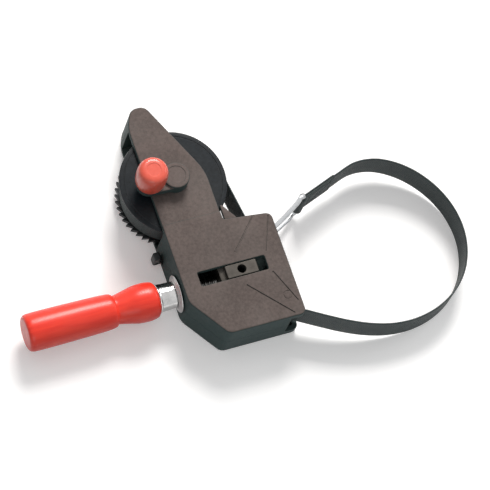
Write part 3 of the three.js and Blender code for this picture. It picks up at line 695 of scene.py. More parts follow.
def fine_dust(build: Nodes, given: Sockets) -> Sockets:
    """Fine dust on faces that look up, thicker in slow patches and speckled.

    Args:
        build: the group's builder.
        given: Amount, from 0 to 1.

    Returns:
        Mask, from 0 to 1.
    """
    level = build.ramp(build.parts(build.normal())["Z"], 0.35, 0.95)
    patches = build.ramp(build.noise(22, detail=5, rough=0.6), 0.42, 0.72)
    specks = build.ramp(build.noise(1900, detail=1), 0.66, 0.74)
    cover = build.product(build.weighed((patches, 0.6), (specks, 0.5)), level)
    return {"Mask": build.product(cover, given["Amount"])}


def woven_yarn(build: Nodes, given: Sockets) -> Sockets:
    """A close herringbone of yarns along and across the band, from its own lengths as uv.

    Args:
        build: the group's builder.
        given: Yarn, the width of one in metres.

    Returns:
        Height, Tone and Selvedge, from 0 to 1.
    """
    lengths = build.parts(build.add("ShaderNodeUVMap", uv_map="lengths").outputs[0])
    column = build.math("DIVIDE", lengths["Y"], given["Yarn"])
    row = build.math("DIVIDE", lengths["X"], build.product(given["Yarn"], 0.8))
    twill = build.math("ADD", row, build.math("PINGPONG", column, 4.0))
    rib = build.math("ABSOLUTE", build.math("SINE", build.product(twill, math.pi / 2)))
    cord = build.math("ABSOLUTE", build.math("SINE", build.product(column, math.pi)))
    yarn = build.product(build.math("POWER", rib, 0.6), build.math("POWER", cord, 0.45))
    fuzz, uneven = build.noise(3400, detail=2), build.noise(160)
    return {
        "Height": build.weighed((yarn, 1.0), (fuzz, 0.18)),
        "Tone": build.weighed((yarn, 0.65), (uneven, 0.35)),
        "Selvedge": build.ramp(build.math("ABSOLUTE", lengths["Y"]), 0.0108, 0.0122),
    }


# Finishes and materials


def grey(level: float, warm: float = 0) -> Colour:
    """A grey of a linear lightness; warm is how much redder than blue it is."""
    return level * (1 + warm), level, level * (1 - warm), 1.0


@dataclass(frozen=True)
class Plastic:
    """A moulded plastic's finish.

    Attributes:
        base: its colour.
        light: the lighter tone of its slow unevenness.
        worn: the colour of rubbed edges.
        rough: its least and most roughness.
        grain: the height of its grain in metres.
        dust: how much dust lies on it.
        shine: its specular level.
        coat: the strength of a gloss over it.
        side: painted shade, a darker colour on steep faces and low faces, where little light falls.
    """

    base: Colour
    light: Colour
    worn: Colour
    rough: Point
    grain: float
    dust: float
    shine: float
    coat: float = 0
    side: Colour | None = None


@dataclass(frozen=True)
class Metal:
    """A metal's finish.

    Attributes:
        base: its colour.
        stain: the colour of its duller patches.
        rough: its least and most roughness.
        grain: the height of its grain in metres.
        scale: its grain's waves per metre.
    """

    base: Colour
    stain: Colour
    rough: Point
    grain: float
    scale: float = 900


@dataclass(frozen=True)
class Lacquer:
    """A gloss lacquer over turned wood.

    Attributes:
        base: its colour.
        deep: its colour where it lies thicker.
        rough: the paint's roughness.
        coat_rough: the roughness of its gloss.
        ripple: the height of its brushed unevenness in metres.
    """

    base: Colour
    deep: Colour
    rough: float
    coat_rough: float
    ripple: float


@dataclass(frozen=True)
class Weave:
    """A woven or twisted yarn's finish: dark between the yarns and light on top of them."""

    dark: Colour
    light: Colour


class Finish(Enum):
    """The finishes of the clamp's pieces."""

    # The housing's side colour is painted shade for its steep faces and the faces low in it.
    HOUSING = Plastic(
        base=(0.078, 0.06, 0.054, 1), light=(0.124, 0.096, 0.087, 1), worn=(0.17, 0.14, 0.125, 1),
        rough=(0.5, 0.64), grain=0.00004, dust=0.1, shine=0.15, side=(0.032, 0.051, 0.05, 1),
    )
    REEL = Plastic(
        base=grey(0.0065, -0.3), light=grey(0.013, -0.3), worn=grey(0.045),
        rough=(0.27, 0.37), grain=0.00001, dust=0.04, shine=0.14,
    )
    KNOB = Plastic(
        base=(0.7, 0.085, 0.05, 1), light=(0.74, 0.105, 0.063, 1), worn=(0.86, 0.2, 0.13, 1),
        rough=(0.3, 0.4), grain=0.000008, dust=0.03, shine=0.3, coat=0.35,
    )
    HANDLE = Lacquer(
        base=(0.9, 0.046, 0.022, 1), deep=(0.78, 0.03, 0.015, 1), rough=0.34, coat_rough=0.25, ripple=0.00004,
    )
    CHROME = Metal(grey(0.6, 0.01), grey(0.3), rough=(0.08, 0.2), grain=0.000003, scale=700)
    ZINC = Metal(grey(0.6, -0.02), grey(0.4, -0.02), rough=(0.24, 0.42), grain=0.000006)
    STEEL = Metal(grey(0.46), grey(0.3, 0.03), rough=(0.26, 0.42), grain=0.000005)
    BLACKED = Metal(grey(0.05, -0.06), grey(0.032), rough=(0.36, 0.54), grain=0.000006)
    OILED = Metal(grey(0.2, 0.03), grey(0.11, 0.06), rough=(0.26, 0.42), grain=0.000005)
    CAST = Metal(grey(0.07, 0.1), grey(0.05, 0.1), rough=(0.56, 0.7), grain=0.00002, scale=1300)
    BRASS = Metal((0.68, 0.47, 0.18, 1), (0.45, 0.3, 0.12, 1), rough=(0.25, 0.4), grain=0.000005)
    BAND_WEAVE = Weave(dark=(0.007, 0.0115, 0.012, 1), light=(0.023, 0.034, 0.034, 1))
    STITCHING = Weave(dark=(0.03, 0.033, 0.033, 1), light=(0.07, 0.074, 0.072, 1))


class Materials:
    """Makes each material once, from its finish and the shared groups.

    Each maker takes the material's builder and its finish and gives the principled surface's inputs.
    """

    def __init__(self) -> None:
        """Makes the shared groups, then every finish's material."""
        self.edges = shared_group(rubbed_edges, Radius=0.0008, Breakup=0.5)
        self.grain = shared_group(moulded_grain, Scale=1.0)
        self.dust = shared_group(fine_dust, Amount=0.4)
        self.yarn = shared_group(woven_yarn, Yarn=0.0011)
        makers = {Plastic: self._plastic, Metal: self._metal, Lacquer: self._lacquer, Weave: self._weave}
        self.of = {finish: self._make(finish, makers[type(finish.value)]) for finish in Finish}

    @staticmethod
    def _make(finish: Finish, maker: Callable[[Nodes, object], dict]) -> Material:
        """Makes a material with one principled surface.

        Args:
            finish: its finish.
            maker: gives the surface's inputs.

        Returns:
            The material.
        """
        material = bpy.data.materials.new(finish.name.lower())
        material.use_nodes = True
        build = Nodes(material.node_tree)
        surface = build.add("ShaderNodeBsdfPrincipled", maker(build, finish.value))
        build.add("ShaderNodeOutputMaterial", {"Surface": surface.outputs[0]})
        return material

    def _plastic(self, build: Nodes, finish: Plastic) -> dict:
        """Moulded plastic with grain, rubbed edges, a little dust and, where the finish has a side colour,
        painted shade.

        Args:
            build: the material's builder.
            finish: its finish.

        Returns:
            The surface's inputs.
        """
        grain, edges = build.use(self.grain), build.use(self.edges)
        dust = build.use(self.dust, Amount=finish.dust)
        tone = build.blend(build.ramp(grain["Tone"], 0.38, 0.62), finish.base, finish.light)
        # Painted shade: faces that are steep or face down, and every face below 20 to 30 mm, take the darker
        # side colour.
        if finish.side:
            high = build.ramp(build.parts(build.place())["Z"], 0.02, 0.03)
            level = build.ramp(build.parts(build.normal())["Z"], 0.5, 0.95)
            tone = build.blend(build.product(level, high), finish.side, tone)
        worn = build.blend(build.product(edges["Mask"], 0.55), tone, finish.worn)
        dull = build.ramp(grain["Tone"], 0.3, 0.7, *finish.rough)
        return {
            "Base Color": build.blend(dust["Mask"], worn, grey(0.42, 0.06)),
            "Roughness": build.weighed((dull, 1.0), (dust["Mask"], 0.5)),
            "Coat Weight": finish.coat,
            "Coat Roughness": 0.12,
            "IOR": 1.5,
            "Specular IOR Level": finish.shine,
            "Normal": build.relief(grain["Height"], finish.grain, 0.0003),
        }

    def _metal(self, build: Nodes, finish: Metal) -> dict:
        """Metal with a fine grain and duller patches.

        Args:
            build: the material's builder.
            finish: its finish.

        Returns:
            The surface's inputs.
        """
        edges = build.use(self.edges, Radius=0.0004)
        fine = build.noise(finish.scale, detail=4)
        patches = build.ramp(build.noise(95, detail=5, rough=0.6), 0.4, 0.68)
        stained = build.blend(build.product(patches, 0.6), finish.base, finish.stain)
        mixed = build.weighed((fine, 0.5), (patches, 0.5))
        return {
            "Base Color": build.blend(build.product(edges["Mask"], 0.5), stained, finish.base),
            "Roughness": build.ramp(mixed, 0.2, 0.8, *finish.rough),
            "Metallic": 1.0,
            "Normal": build.relief(fine, finish.grain, 0.00025),
        }

    def _lacquer(self, build: Nodes, finish: Lacquer) -> dict:
        """Gloss lacquer: drawn lengthwise, with fine nibs and slight deeper streaks.

        Args:
            build: the material's builder.
            finish: its finish.

        Returns:
            The surface's inputs.
        """
        streaks = build.noise(240, build.place((0.12, 1, 1)), 4)
        grain = build.noise(900, build.place((0.05, 1, 1)))
        nibs = build.ramp(build.noise(1100, detail=1), 0.7, 0.78)
        dust = build.use(self.dust, Amount=0.04)
        toned = build.blend(build.ramp(streaks, 0.38, 0.68), finish.base, finish.deep)
        height = build.weighed((streaks, 0.7), (grain, 0.14), (nibs, 0.12))
        return {
            "Base Color": build.blend(dust["Mask"], toned, grey(0.5, 0.05)),
            "Roughness": build.ramp(streaks, 0.3, 0.7, finish.rough, finish.rough * 1.3),
            "Coat Weight": 0.42,
            "Coat Roughness": finish.coat_rough,
            "IOR": 1.5,
            "Specular IOR Level": 0.15,
            "Normal": build.relief(height, finish.ripple, 0.0003),
        }

    def _weave(self, build: Nodes, finish: Weave) -> dict:
        """Woven polyester: yarns, a tight selvedge, lint and a soft sheen.

        Args:
            build: the material's builder.
            finish: its finish.

        Returns:
            The surface's inputs.
        """
        yarn = build.use(self.yarn)
        lint = build.ramp(build.noise(700, rough=0.7), 0.66, 0.78)
        tone = build.blend(build.ramp(yarn["Tone"], 0.2, 0.85), finish.dark, finish.light)
        rim = build.blend(build.product(yarn["Selvedge"], 0.5), tone, finish.light)
        return {
            "Base Color": build.blend(build.product(lint, 0.1), rim, grey(0.3, 0.03)),
            "Roughness": build.ramp(yarn["Tone"], 0.2, 0.8, 0.78, 0.58),
            "Sheen Weight": 0.1,
            "Sheen Roughness": 0.4,
            "Normal": build.relief(yarn["Height"], 0.00022),
        }


# Sub-assemblies


@dataclass(frozen=True)
class Places:
    """X and Y of the axes of the reel, both guide rollers, the anchor pin and the carriage's roller."""

    reel: Point = (-20, 78)
    inner: Point = (20, 24)
    outer: Point = (31.8, -28)
    anchor: Point = (34.5, 29.5)
    roller: Point = (6, 0)


PLACES = Places()
GUIDE_RADIUS = 4.5


def both_sides(near: float, far: float) -> tuple[Point, Point]:
    """A span on the negative side of zero and its mirror image on the positive side."""
    return (-far, -near), (near, far)


@dataclass
class Assembly:
    """A sub-assembly: its sizes are its fields, and its methods build its meshes and dress them.

    Attributes:
        materials: the materials.
    """

    materials: Materials

    def add(
        self, name: str, shape: Surface | Mesh, finish: Finish, body: str, slot: str, *nodes: str,
        crease: float = CREASE,
    ) -> Object:
        """Adds a piece.

        Args:
            name: the piece's name.
            shape: its surface, or a mesh in metres.
            finish: its finish.
            body: the CAD body that it rides on; empty for a piece that rides on no body.
            slot: the record's material slot; not used.
            nodes: the CAD nodes that it stands for.
            crease: the angle in degrees above which an edge stays sharp.

        Returns:
            The new object.
        """
        mesh = build_mesh(name, shape, crease) if isinstance(shape, Surface) else shape
        mesh.materials.clear()
        mesh.materials.append(self.materials.of[finish])
        piece = bpy.data.objects.new(name, mesh)
        bpy.context.scene.collection.objects.link(piece)
        piece.modifiers.new("flat faces", "WEIGHTED_NORMAL").keep_sharp = True
        if nodes:
            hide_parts(*nodes)
        if body:
            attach(piece, body)
        log.info("%s: %d faces", name, len(mesh.polygons))
        return piece


@dataclass
class Housing(Assembly):
    """The moulded housing: two halves, their openings, bosses and screws.

    Attributes:
        corners: the outline's X, Y and radius at each corner, counter-clockwise.
        head: the same for the room inside the head.
        plate: the thickness of each plate.
        edge: the radius of the outer edges.
        inner_edge: the radius where a plate meets a wall inside.
        parting: half of the gap between the halves.
        step: where the arm's lower top starts and how far it drops.
        ramp: the length of that step's slope.
        window: the slot's ends in X.
        window_half: half of its width.
        tip_wall: where the arm's closed tip starts.
        mouth: the ends in X of the arm's open mouth.
        openings: X and Y of the corner openings, two for the hook and one where the band leaves.
        engraved: each engraved line's ends, on the arm's side.
        ring: the inner and outer radius of the engraved ring.
        room: the radius of the reel's room.
        bore: the radius of the shaft's bores.
        corner_room: Z of the corner openings.
        sunk: how deep the bosses stand in the plates.
        screws: the screws' names.
        post: the radius of their posts.
        sink: the radius and depth of their counterbores.
        pawl_slot: X and Y of the slot that the pawl's tab comes out of.
        guide_boss: the radius of the guide pins' bosses.
        anchor_boss: the radius of the anchor pin's bosses.
        nut_ends: the ends in X of the column that holds the nut.
        nut_sides: the inner and outer face in Y of its side walls.
        nut_room: the levels between which it is open.
        rail_ends: the ends in X of the carriage's rails.
        rail_sides: the faces in Y of a rail.
        rail_levels: the levels between which the carriage runs.
        seat: X and Y of the wall that the pawl's spring rests on.
        seat_top: that wall's top.
        finger: the X, Y and radius at each corner of the top's short finger.
    """

    corners: tuple[Triple, ...] = (
        (41, -45, 5), (41, 36, 5), (5, 40, 2), (5, 80, 9), (-22.5, 139.5, 5),
        (-33.5, 139.5, 5), (-40, 126, 7), (-40, -15, 4), (-19, -45, 4),
    )
    head: tuple[Triple, ...] = (
        (37.5, -41.5, 2), (37.5, 32.8, 2), (1.5, 36.6, 2), (1.5, 60, 2),
        (-36.5, 60, 2), (-36.5, -14, 2), (-17.2, -41.5, 2),
    )
    plate: float = 4
    edge: float = 1.2
    inner_edge: float = 0.6
    parting: float = 0.05
    step: Point = (46, 0.8)
    ramp: float = 0.9
    window: Point = (-27, 25)
    window_half: float = 5.5
    tip_wall: float = 124
    mouth: Point = (-60, 30)
    openings: tuple[tuple[Point, Point], ...] = (
        ((27, 50), (21.5, 48)), ((PLACES.inner[0] - GUIDE_RADIUS, 50), (32.5, 48)),
        ((30, 50), (-52, -33.5)),
    )
    engraved: tuple[tuple[Point, Point], ...] = (((5, 13), (32.6, 42.6)), ((27, 8), (38, 34)))
    ring: Point = (2.7, 3.3)
    room: float = 41.5
    bore: float = 6.2
    corner_room: Point = (6.95, 34.55)
    sunk: float = 0.5
    screws: tuple[str, ...] = tuple(f"housing_screw_{i}" for i in range(1, 7))
    post: float = 4
    sink: Point = (3.8, 2.6)
    pawl_slot: tuple[Point, Point] = ((-45, -35.5), (28.4, 38.6))
    guide_boss: float = 3.9
    anchor_boss: float = 4.5
    nut_ends: Point = (-37, -28.7)
    nut_sides: Point = (9.3, 12)
    nut_room: Point = (10.7, 29.3)
    rail_ends: Point = (-28.9, 18)
    rail_sides: Point = (11.3, 13.3)
    rail_levels: Point = (7, 34.5)
    seat: tuple[Point, Point] = ((-19.5, -11.5), (21, 23))
    seat_top: float = 12
    finger: tuple[Triple, ...] = (
        (6.4, 36.5, 0.5), (15.5, 36.5, 0.5), (15.5, 38.7, 0.5), (7.6, 51, 0.6), (6.4, 51, 0.6),
    )

    def __post_init__(self) -> None:
        """Reads the housing's levels from the frame."""
        self.height, self.split = Box.of("housing_top").z[1], Box.of("housing_bottom").z[1]
        self.ceiling = self.height - self.plate

    def build(self) -> None:
        """Adds both halves, the bosses inside them and the screws."""
        top = self._hollows(self.split - 1, self.ceiling) + self._top_cuts()
        bottom = self._hollows(self.plate, self.split + 1) + self._bottom_cuts()
        halves = (("housing_top", self._top_blank(), top), ("housing_bottom", self._bottom_blank(), bottom))
        for node, blank, cuts in halves:
            shell = carved(node + "_shell", blank, cuts)
            self.add(node + "_shell", shell, Finish.HOUSING, "housing", "housing", node)
        self.add("housing_bosses", self._bosses(), Finish.HOUSING, "housing", "housing")
        for name in self.screws:
            self._screw(name)

    def _step_lines(self) -> Array:
        """Y of the lines that bend across the arm's step."""
        return np.linspace(self.step[0], self.step[0] + self.ramp, 5)

    def _outline(self) -> Array:
        """The outline, with points where the arm's step begins and ends.

        Returns:
            Its points, counter-clockwise.
        """
        loop = rounded_loop(self.corners)
        for level in self._step_lines():
            places = []
            for here, there in zip(loop, np.roll(loop, -1, axis=0)):
                places.append(here)
                share = (level - here[1]) / (there[1] - here[1]) if there[1] != here[1] else -1
                if 0 < share < 1:
                    places.append(here + (there - here) * share)
            loop = np.array(places)
        return loop

    def _top_blank(self) -> Surface:
        """The top half as a block: its rim is rounded, and its arm's top drops as 3s^2 - 2s^3 along the step.

        Returns:
            The closed surface.
        """
        loop = self._outline()
        sides = swept(loop, wall(self.split + self.parting, self.height, 0.3, self.edge))
        sides.faces.pop()
        rim = inward(loop, self.edge)
        count = len(rim)
        edges = [(i, (i + 1) % count) for i in range(count)]
        for level in self._step_lines():
            ends = [i for i in range(count) if abs(loop[i, 1] - level) < 1e-6]
            edges += [tuple(ends)] if len(ends) == 2 else []
        flat = delaunay_2d_cdt([Vector(p) for p in rim.tolist()], edges, [tuple(range(count))], 1, 1e-6)
        cover = np.array([(p.x, p.y, self.height) for p in flat[0]])
        blank = together([sides, Surface(cover, [tuple(face) for face in flat[2]])])
        share = np.clip((blank.points[:, 1] - self.step[0]) / self.ramp, 0, 1)
        drop = self.step[1] * share**2 * (3 - 2 * share)
        blank.points[:, 2] -= np.where(blank.points[:, 2] > self.ceiling, drop, 0)
        return blank

    def _bottom_blank(self) -> Surface:
        """The bottom half as a closed block with a rounded rim."""
        return swept(rounded_loop(self.corners), wall(0, self.split - self.parting, self.edge, 0.3))

    def _hollows(self, low: float, high: float) -> list[Surface]:
        """What both halves leave free between two levels.

        Args:
            low: the lowest level.
            high: the highest level.

        Returns:
            The cutters: the head's inside, the reel's room, the arm's mouth and the side openings.
        """
        bottom, top = (self.inner_edge, 0) if low == self.plate else (0, self.inner_edge)
        over = 0.01
        room = circle(PLACES.reel, self.room, 160)
        mouth = rectangle(self.mouth, (PLACES.reel[1], self.tip_wall), 1.5)
        corner = wall(max(low, self.corner_room[0]), min(high, self.corner_room[1]))
        cuts = [swept(rounded_loop(self.head), wall(low, high, bottom, top))]
        cuts.append(swept(room, wall(low - over * bool(bottom), high + over * bool(top))))
        cuts.append(swept(mouth, wall(low, high)))
        return cuts + [swept(rectangle(x, y, 1.2), corner) for x, y in self.openings]

    def _top_cuts(self) -> list[Surface]:
        """What is cut into the top plate.

        Returns:
            The cutters: the window, the engraved lines, the outer guide's ring and the shaft's bore.
        """
        above, arm_top = self.height + 1, self.height - self.step[1]
        window = rectangle(self.window, (-self.window_half, self.window_half), 1.4)
        cuts = [swept(window, wall(self.ceiling - 1, self.height, 0, -0.7) + [(-0.7, above)])]
        cuts += [self._line(start, end, side) for side in (-1, 1) for start, end in self.engraved]
        floor, flare = arm_top + 0.45, 0.15
        low = [(floor, radius) for radius in self.ring]
        high = [(above, self.ring[1] + flare), (above, self.ring[0] - flare)]
        cuts.append(lathe(low + high, 48, hollow=True).moved(*PLACES.outer))
        bore = wall(self.ceiling - 1, arm_top, 0, -0.4) + [(-0.4, above)]
        return cuts + [swept(circle(PLACES.reel, self.bore), bore)]

    def _line(self, start: Point, end: Point, side: int) -> Surface:
        """One engraved line of the head's V, wider at the window than at its outer end.

        Args:
            start: its end near the window.
            end: its outer end.
            side: 1 for the arm's side, -1 for the other.

        Returns:
            The cutter.
        """
        first, last = np.array([start, end]) * (1, side)
        across = left_of(unit(last - first)[None])[0]
        wide, narrow, depth = 0.66 * across, 0.42 * across, 0.65
        places = (first - wide, last - narrow, last + narrow, first + wide)
        loop = rounded_loop([(*place, 0.3) for place in places], 4)
        floor = self.height - depth
        return swept(loop, [(0.2, floor), (0.04, floor + depth * 0.2), (-0.16, self.height + 1)])

    def _bottom_cuts(self) -> list[Surface]:
        """What is cut into the bottom half.

        Returns:
            The cutters: the screws' counterbores, the shaft's bore and the pawl's slot.
        """
        radius, depth = self.sink
        cuts = []
        for name in self.screws:
            sink = [(-0.3, -1), (-0.3, 0), (0, 0.3), (0, depth)]
            cuts.append(swept(circle(Box.of(name).middle[:2], radius, 40), sink))
        through = self.plate + 1
        cuts.append(swept(circle(PLACES.reel, self.bore), [(-0.4, -1), (-0.4, 0), (0, 0.4), (0, through)]))
        slot = rectangle(*self.pawl_slot, 0.6)
        return cuts + [swept(slot, wall(self.plate - 0.01, Box.of("pawl").z[0] + 4.2))]

    def _bosses(self) -> Surface:
        """Screw posts, pin bosses, the nut's column, rails, the spring's seat and the top's finger.

        Returns:
            All of them as one surface.
        """
        floor, ceiling = self.plate - self.sunk, self.ceiling + self.sunk

        def facing(loop: Array, low: float, high: float, edge: float = 0.4) -> list[Surface]:
            """Two bosses on one outline: from the floor up to low, and from the ceiling down to high."""
            return [swept(loop, wall(floor, low, 0, edge)), swept(loop, wall(high, ceiling, edge, 0))]

        parts = []
        for name in self.screws:
            middle = Box.of(name).middle
            if middle[1] < self.tip_wall:
                parts.append(swept(circle(middle[:2], self.post, 40), wall(floor, ceiling)))
        low, high = Box.of("guide_roller_inner").z
        bosses = ((PLACES.inner, self.guide_boss), (PLACES.outer, self.guide_boss))
        for centre, radius in (*bosses, (PLACES.anchor, self.anchor_boss)):
            parts += facing(circle(centre, radius, 40), low - 0.3, high + 0.3)
        for y in both_sides(*self.nut_sides):
            parts.append(swept(rectangle(self.nut_ends, y), wall(floor, ceiling)))
        between = self.nut_sides[0] + 0.1
        parts += facing(rectangle(self.nut_ends, (-between, between)), *self.nut_room, 0)
        for y in both_sides(*self.rail_sides):
            parts += facing(rectangle(self.rail_ends, y, 0.4), *self.rail_levels)
        parts.append(swept(rectangle(*self.seat, 0.4), wall(floor, self.seat_top, 0, 0.4)))
        arm_top = self.height - self.step[1]
        parts.append(swept(rounded_loop(self.finger, 5), wall(self.ceiling, arm_top, 0.15, 0.35)))
        return together(parts)

    def _screw(self, name: str) -> None:
        """One pan-head screw with a cross recess, seen from below.

        Args:
            name: the CAD node that it stands for.
        """
        box = Box.of(name)
        length = box.z[1] - box.z[0]
        head = [(0, 0), (0, 2.2), (0.25, 3.1), (0.7, 3.5), (2.2, 3.5)]
        shank = [(2.2, 1.75), (length, 1.7), (length, 0)]
        slit = swept(rectangle((-2, 2), (-0.42, 0.42), 0.1), [(0, -1), (0, 0.3), (0.3, 1.4)])
        at = (*box.middle[:2], box.z[0])
        mesh = carved(name + "_head", lathe(head + shank, 48), [slit, slit.turned("Z", 90)], at)
        self.add(name + "_head", mesh, Finish.ZINC, "housing", "steel", name)


@dataclass
class Reel(Assembly):
    """The band's reel: flange, ratchet wheel and the band wound on it.

    Attributes:
        bore: the radius of the flange's bore.
        edge: the radius of its rim.
        teeth: the wheel's number of teeth.
        tip: the radius of their tips.
        root: the radius between them.
        first: the angle of the first tooth in degrees.
        roll: the wound band's outer and inner radius.
        pitch: how far its turns lie apart.
        sway: how far they stray in Z.
    """

    bore: float = 8.4
    edge: float = 0.7
    teeth: int = 48
    tip: float = 39.0
    root: float = 36.0
    first: float = -70
    roll: Point = (35.86, 16.1)
    pitch: float = 1.42
    sway: float = 0.12

    def build(self) -> None:
        """Adds the flange, the wheel and the wound band."""
        self._flange()
        self._wheel()
        self._roll()

    def _flange(self) -> None:
        """The smooth upper flange: a rounded rim with a turned line inside it."""
        box = Box.of("reel_flange")
        (low, high), radius = box.z, box.radius
        flat = radius - self.edge
        profile = [(low, self.bore), (low, flat), (low + 0.2, radius - 0.2), ((low + high) / 2, radius)]
        profile += [(high - 0.2, radius - 0.2), (high, flat)]
        line = ((0, 3.2), (0.25, 3.4), (0.25, 3.9), (0, 4.1))
        profile += [(high - depth, radius - inset) for depth, inset in line] + [(high, self.bore)]
        disc = lathe(profile, 180, hollow=True).moved(*PLACES.reel)
        self.add("reel_flange_disc", disc, Finish.REEL, "reel", "reel_plastic", "reel_flange", crease=ROUND)

    def _wheel(self) -> None:
        """The ratchet wheel: saw teeth with eased tips, steep on their clockwise side."""
        tooth = ((self.root, 0), (self.tip - 0.25, 0.004), (self.tip, 0.05), (self.root + 0.12, 0.97))
        radius, share = np.array(tooth).T
        angle = math.radians(self.first) + (np.arange(self.teeth)[:, None] + share) * TURN / self.teeth
        loop = polar((0, 0), radius, angle).reshape(-1, 2)
        wheel = swept(loop, wall(*Box.of("ratchet_wheel").z, 0.15, 0.15, 1)).moved(*PLACES.reel)
        self.add("ratchet_wheel_disc", wheel, Finish.BLACKED, "reel", "steel", "ratchet_wheel", crease=25)

    def _roll(self) -> None:
        """The wound band as one spiral, r = R - p a / 2 pi, from its outer end in to the core."""
        outer, inner = self.roll
        turns = (outer - inner) / self.pitch
        angle = np.linspace(0, turns * TURN, int(turns * 120))
        height = Box.of("band_roll").middle[2] + self.sway * np.sin(angle * 0.37)
        path = np.column_stack((polar(PLACES.reel, outer - self.pitch * angle / TURN, angle), height))
        roll = strap(path, 2, width=BAND_WIDTH - 0.3)
        nodes = ("band_roll", "band_outer_turn")
        self.add("wound_band", roll, Finish.BAND_WEAVE, "reel", "webbing", *nodes, crease=SOFT)


@dataclass
class Crank(Assembly):
    """The crank on the reel's shaft: hub, lever, knob, pin and screw.

    Attributes:
        hub: the hub's radius.
        bore: the radius of the hub's bore.
        edge: the radius of its upper edge.
        dish: the depth of the hollow on its top.
        lever: the lever's lowest level above the hub's, and its thickness.
        lever_half: half of its width at the hub.
        lever_end: the radius of the lever's end.
        knob_bore: the radius of the knob's bore.
        pin: the pin's radius.
        pin_end: the radius of its ends.
        screw_shank: the radius of the screw's shank.
        screw_head: the height of its head.
        socket: the radius and depth of its six-sided socket.
    """

    hub: float = 10.0
    bore: float = 5.4
    edge: float = 1.1
    dish: float = 0.35
    lever: Point = (2.4, 6)
    lever_half: float = 9.6
    lever_end: float = 8.5
    knob_bore: float = 3.1
    pin: float = 3.0
    pin_end: float = 2.6
    screw_shank: float = 2.5
    screw_head: float = 3
    socket: Point = (2.3, 2)

    def build(self) -> None:
        """Adds the crank's pieces."""
        self.knob_place = (float(Box.of("crank_knob").middle[0]), PLACES.reel[1])
        self._arm()
        self._knob()
        self._pin()
        self._screw()

    def _arm(self) -> None:
        """A plain round hub with a short lever moulded to it."""
        low, high = Box.of("crank_arm").z
        profile = [(low, self.bore), (low, self.hub - 0.5), (low + 0.5, self.hub)]
        rounding = ((0, 0), (0.45, 0.08), (0.8, 0.33), (1.02, 0.68), (self.edge, self.edge))
        profile += [(high - self.edge + rise, self.hub - inset) for rise, inset in rounding]
        profile += [(high, 7.2), (high - self.dish, 6.9), (high - self.dish, 0)]
        reach = PLACES.reel[0] - self.knob_place[0]
        end = polar((-reach, 0), self.lever_end, np.linspace(math.pi / 2, 3 * math.pi / 2, 33))
        start, thick = low + self.lever[0], self.lever[1]
        root = [(2, -self.lever_half), (2, self.lever_half)]
        lever = swept(np.vstack((root, end)), wall(start, start + thick, 0.8, 1.0))
        arm = together([lathe(profile, 128), lever]).moved(*PLACES.reel)
        self.add("crank_arm_moulding", arm, Finish.HOUSING, "reel", "housing", "crank_arm", crease=ROUND)

    def _knob(self) -> None:
        """A red barrel knob, drawn in at its foot, with a shallow cap on top."""
        box = Box.of("crank_knob")
        (low, high), radius = box.z, box.radius
        shares = [(0, 0.77), (0.02, 0.83), (0.06, 0.88), (0.15, 0.94), (0.27, 0.983), (0.45, 1.0)]
        shares += [(0.62, 1.0), (0.76, 0.983), (0.86, 0.94), (0.93, 0.87), (0.97, 0.78), (0.99, 0.69)]
        side = eased([(low + a * (high - low), r * radius) for a, r in shares], 60)
        cap = [(high, radius * 0.6), (high, radius * 0.46), (high - 0.3, radius * 0.43), (high - 0.3, 0)]
        knob = lathe([(low, self.knob_bore)] + side + cap, 96).moved(*self.knob_place)
        self.add("crank_knob_barrel", knob, Finish.KNOB, "crank_knob", "knob_red", "crank_knob", crease=ROUND)

    def _pin(self) -> None:
        """The knob's pin with its flange, riveted under the lever."""
        low, high = Box.of("knob_pin").z
        seat, slim = low + self.lever[1] + 0.3, self.pin_end
        flange = ((0, self.pin), (0, 4.3), (0.2, 4.5), (0.8, 4.5), (1, 4.3), (1, slim))
        profile = [(low, 0), (low, slim), (low + 0.4, self.pin)] + [(seat + rise, r) for rise, r in flange]
        pin = lathe(profile + [(high, slim), (high, 0)], 64).moved(*self.knob_place)
        self.add("knob_pin_turned", pin, Finish.ZINC, "reel", "steel", "knob_pin")

    def _screw(self) -> None:
        """The screw that holds the crank, with a six-sided socket, seen from below."""
        box = Box.of("crank_screw")
        length, radius, high, shank = box.z[1] - box.z[0], box.radius, self.screw_head, self.screw_shank
        profile = [(0, 0), (0, radius - 0.5), (0.4, radius), (high, radius)]
        profile += [(high, shank), (length, shank), (length, 0)]
        socket = swept(circle((0, 0), self.socket[0], 6), wall(-1, self.socket[1]))
        mesh = carved("crank_screw_turned", lathe(profile, 64), [socket], (*PLACES.reel, box.z[0]))
        self.add("crank_screw_turned", mesh, Finish.STEEL, "reel", "steel", "crank_screw")


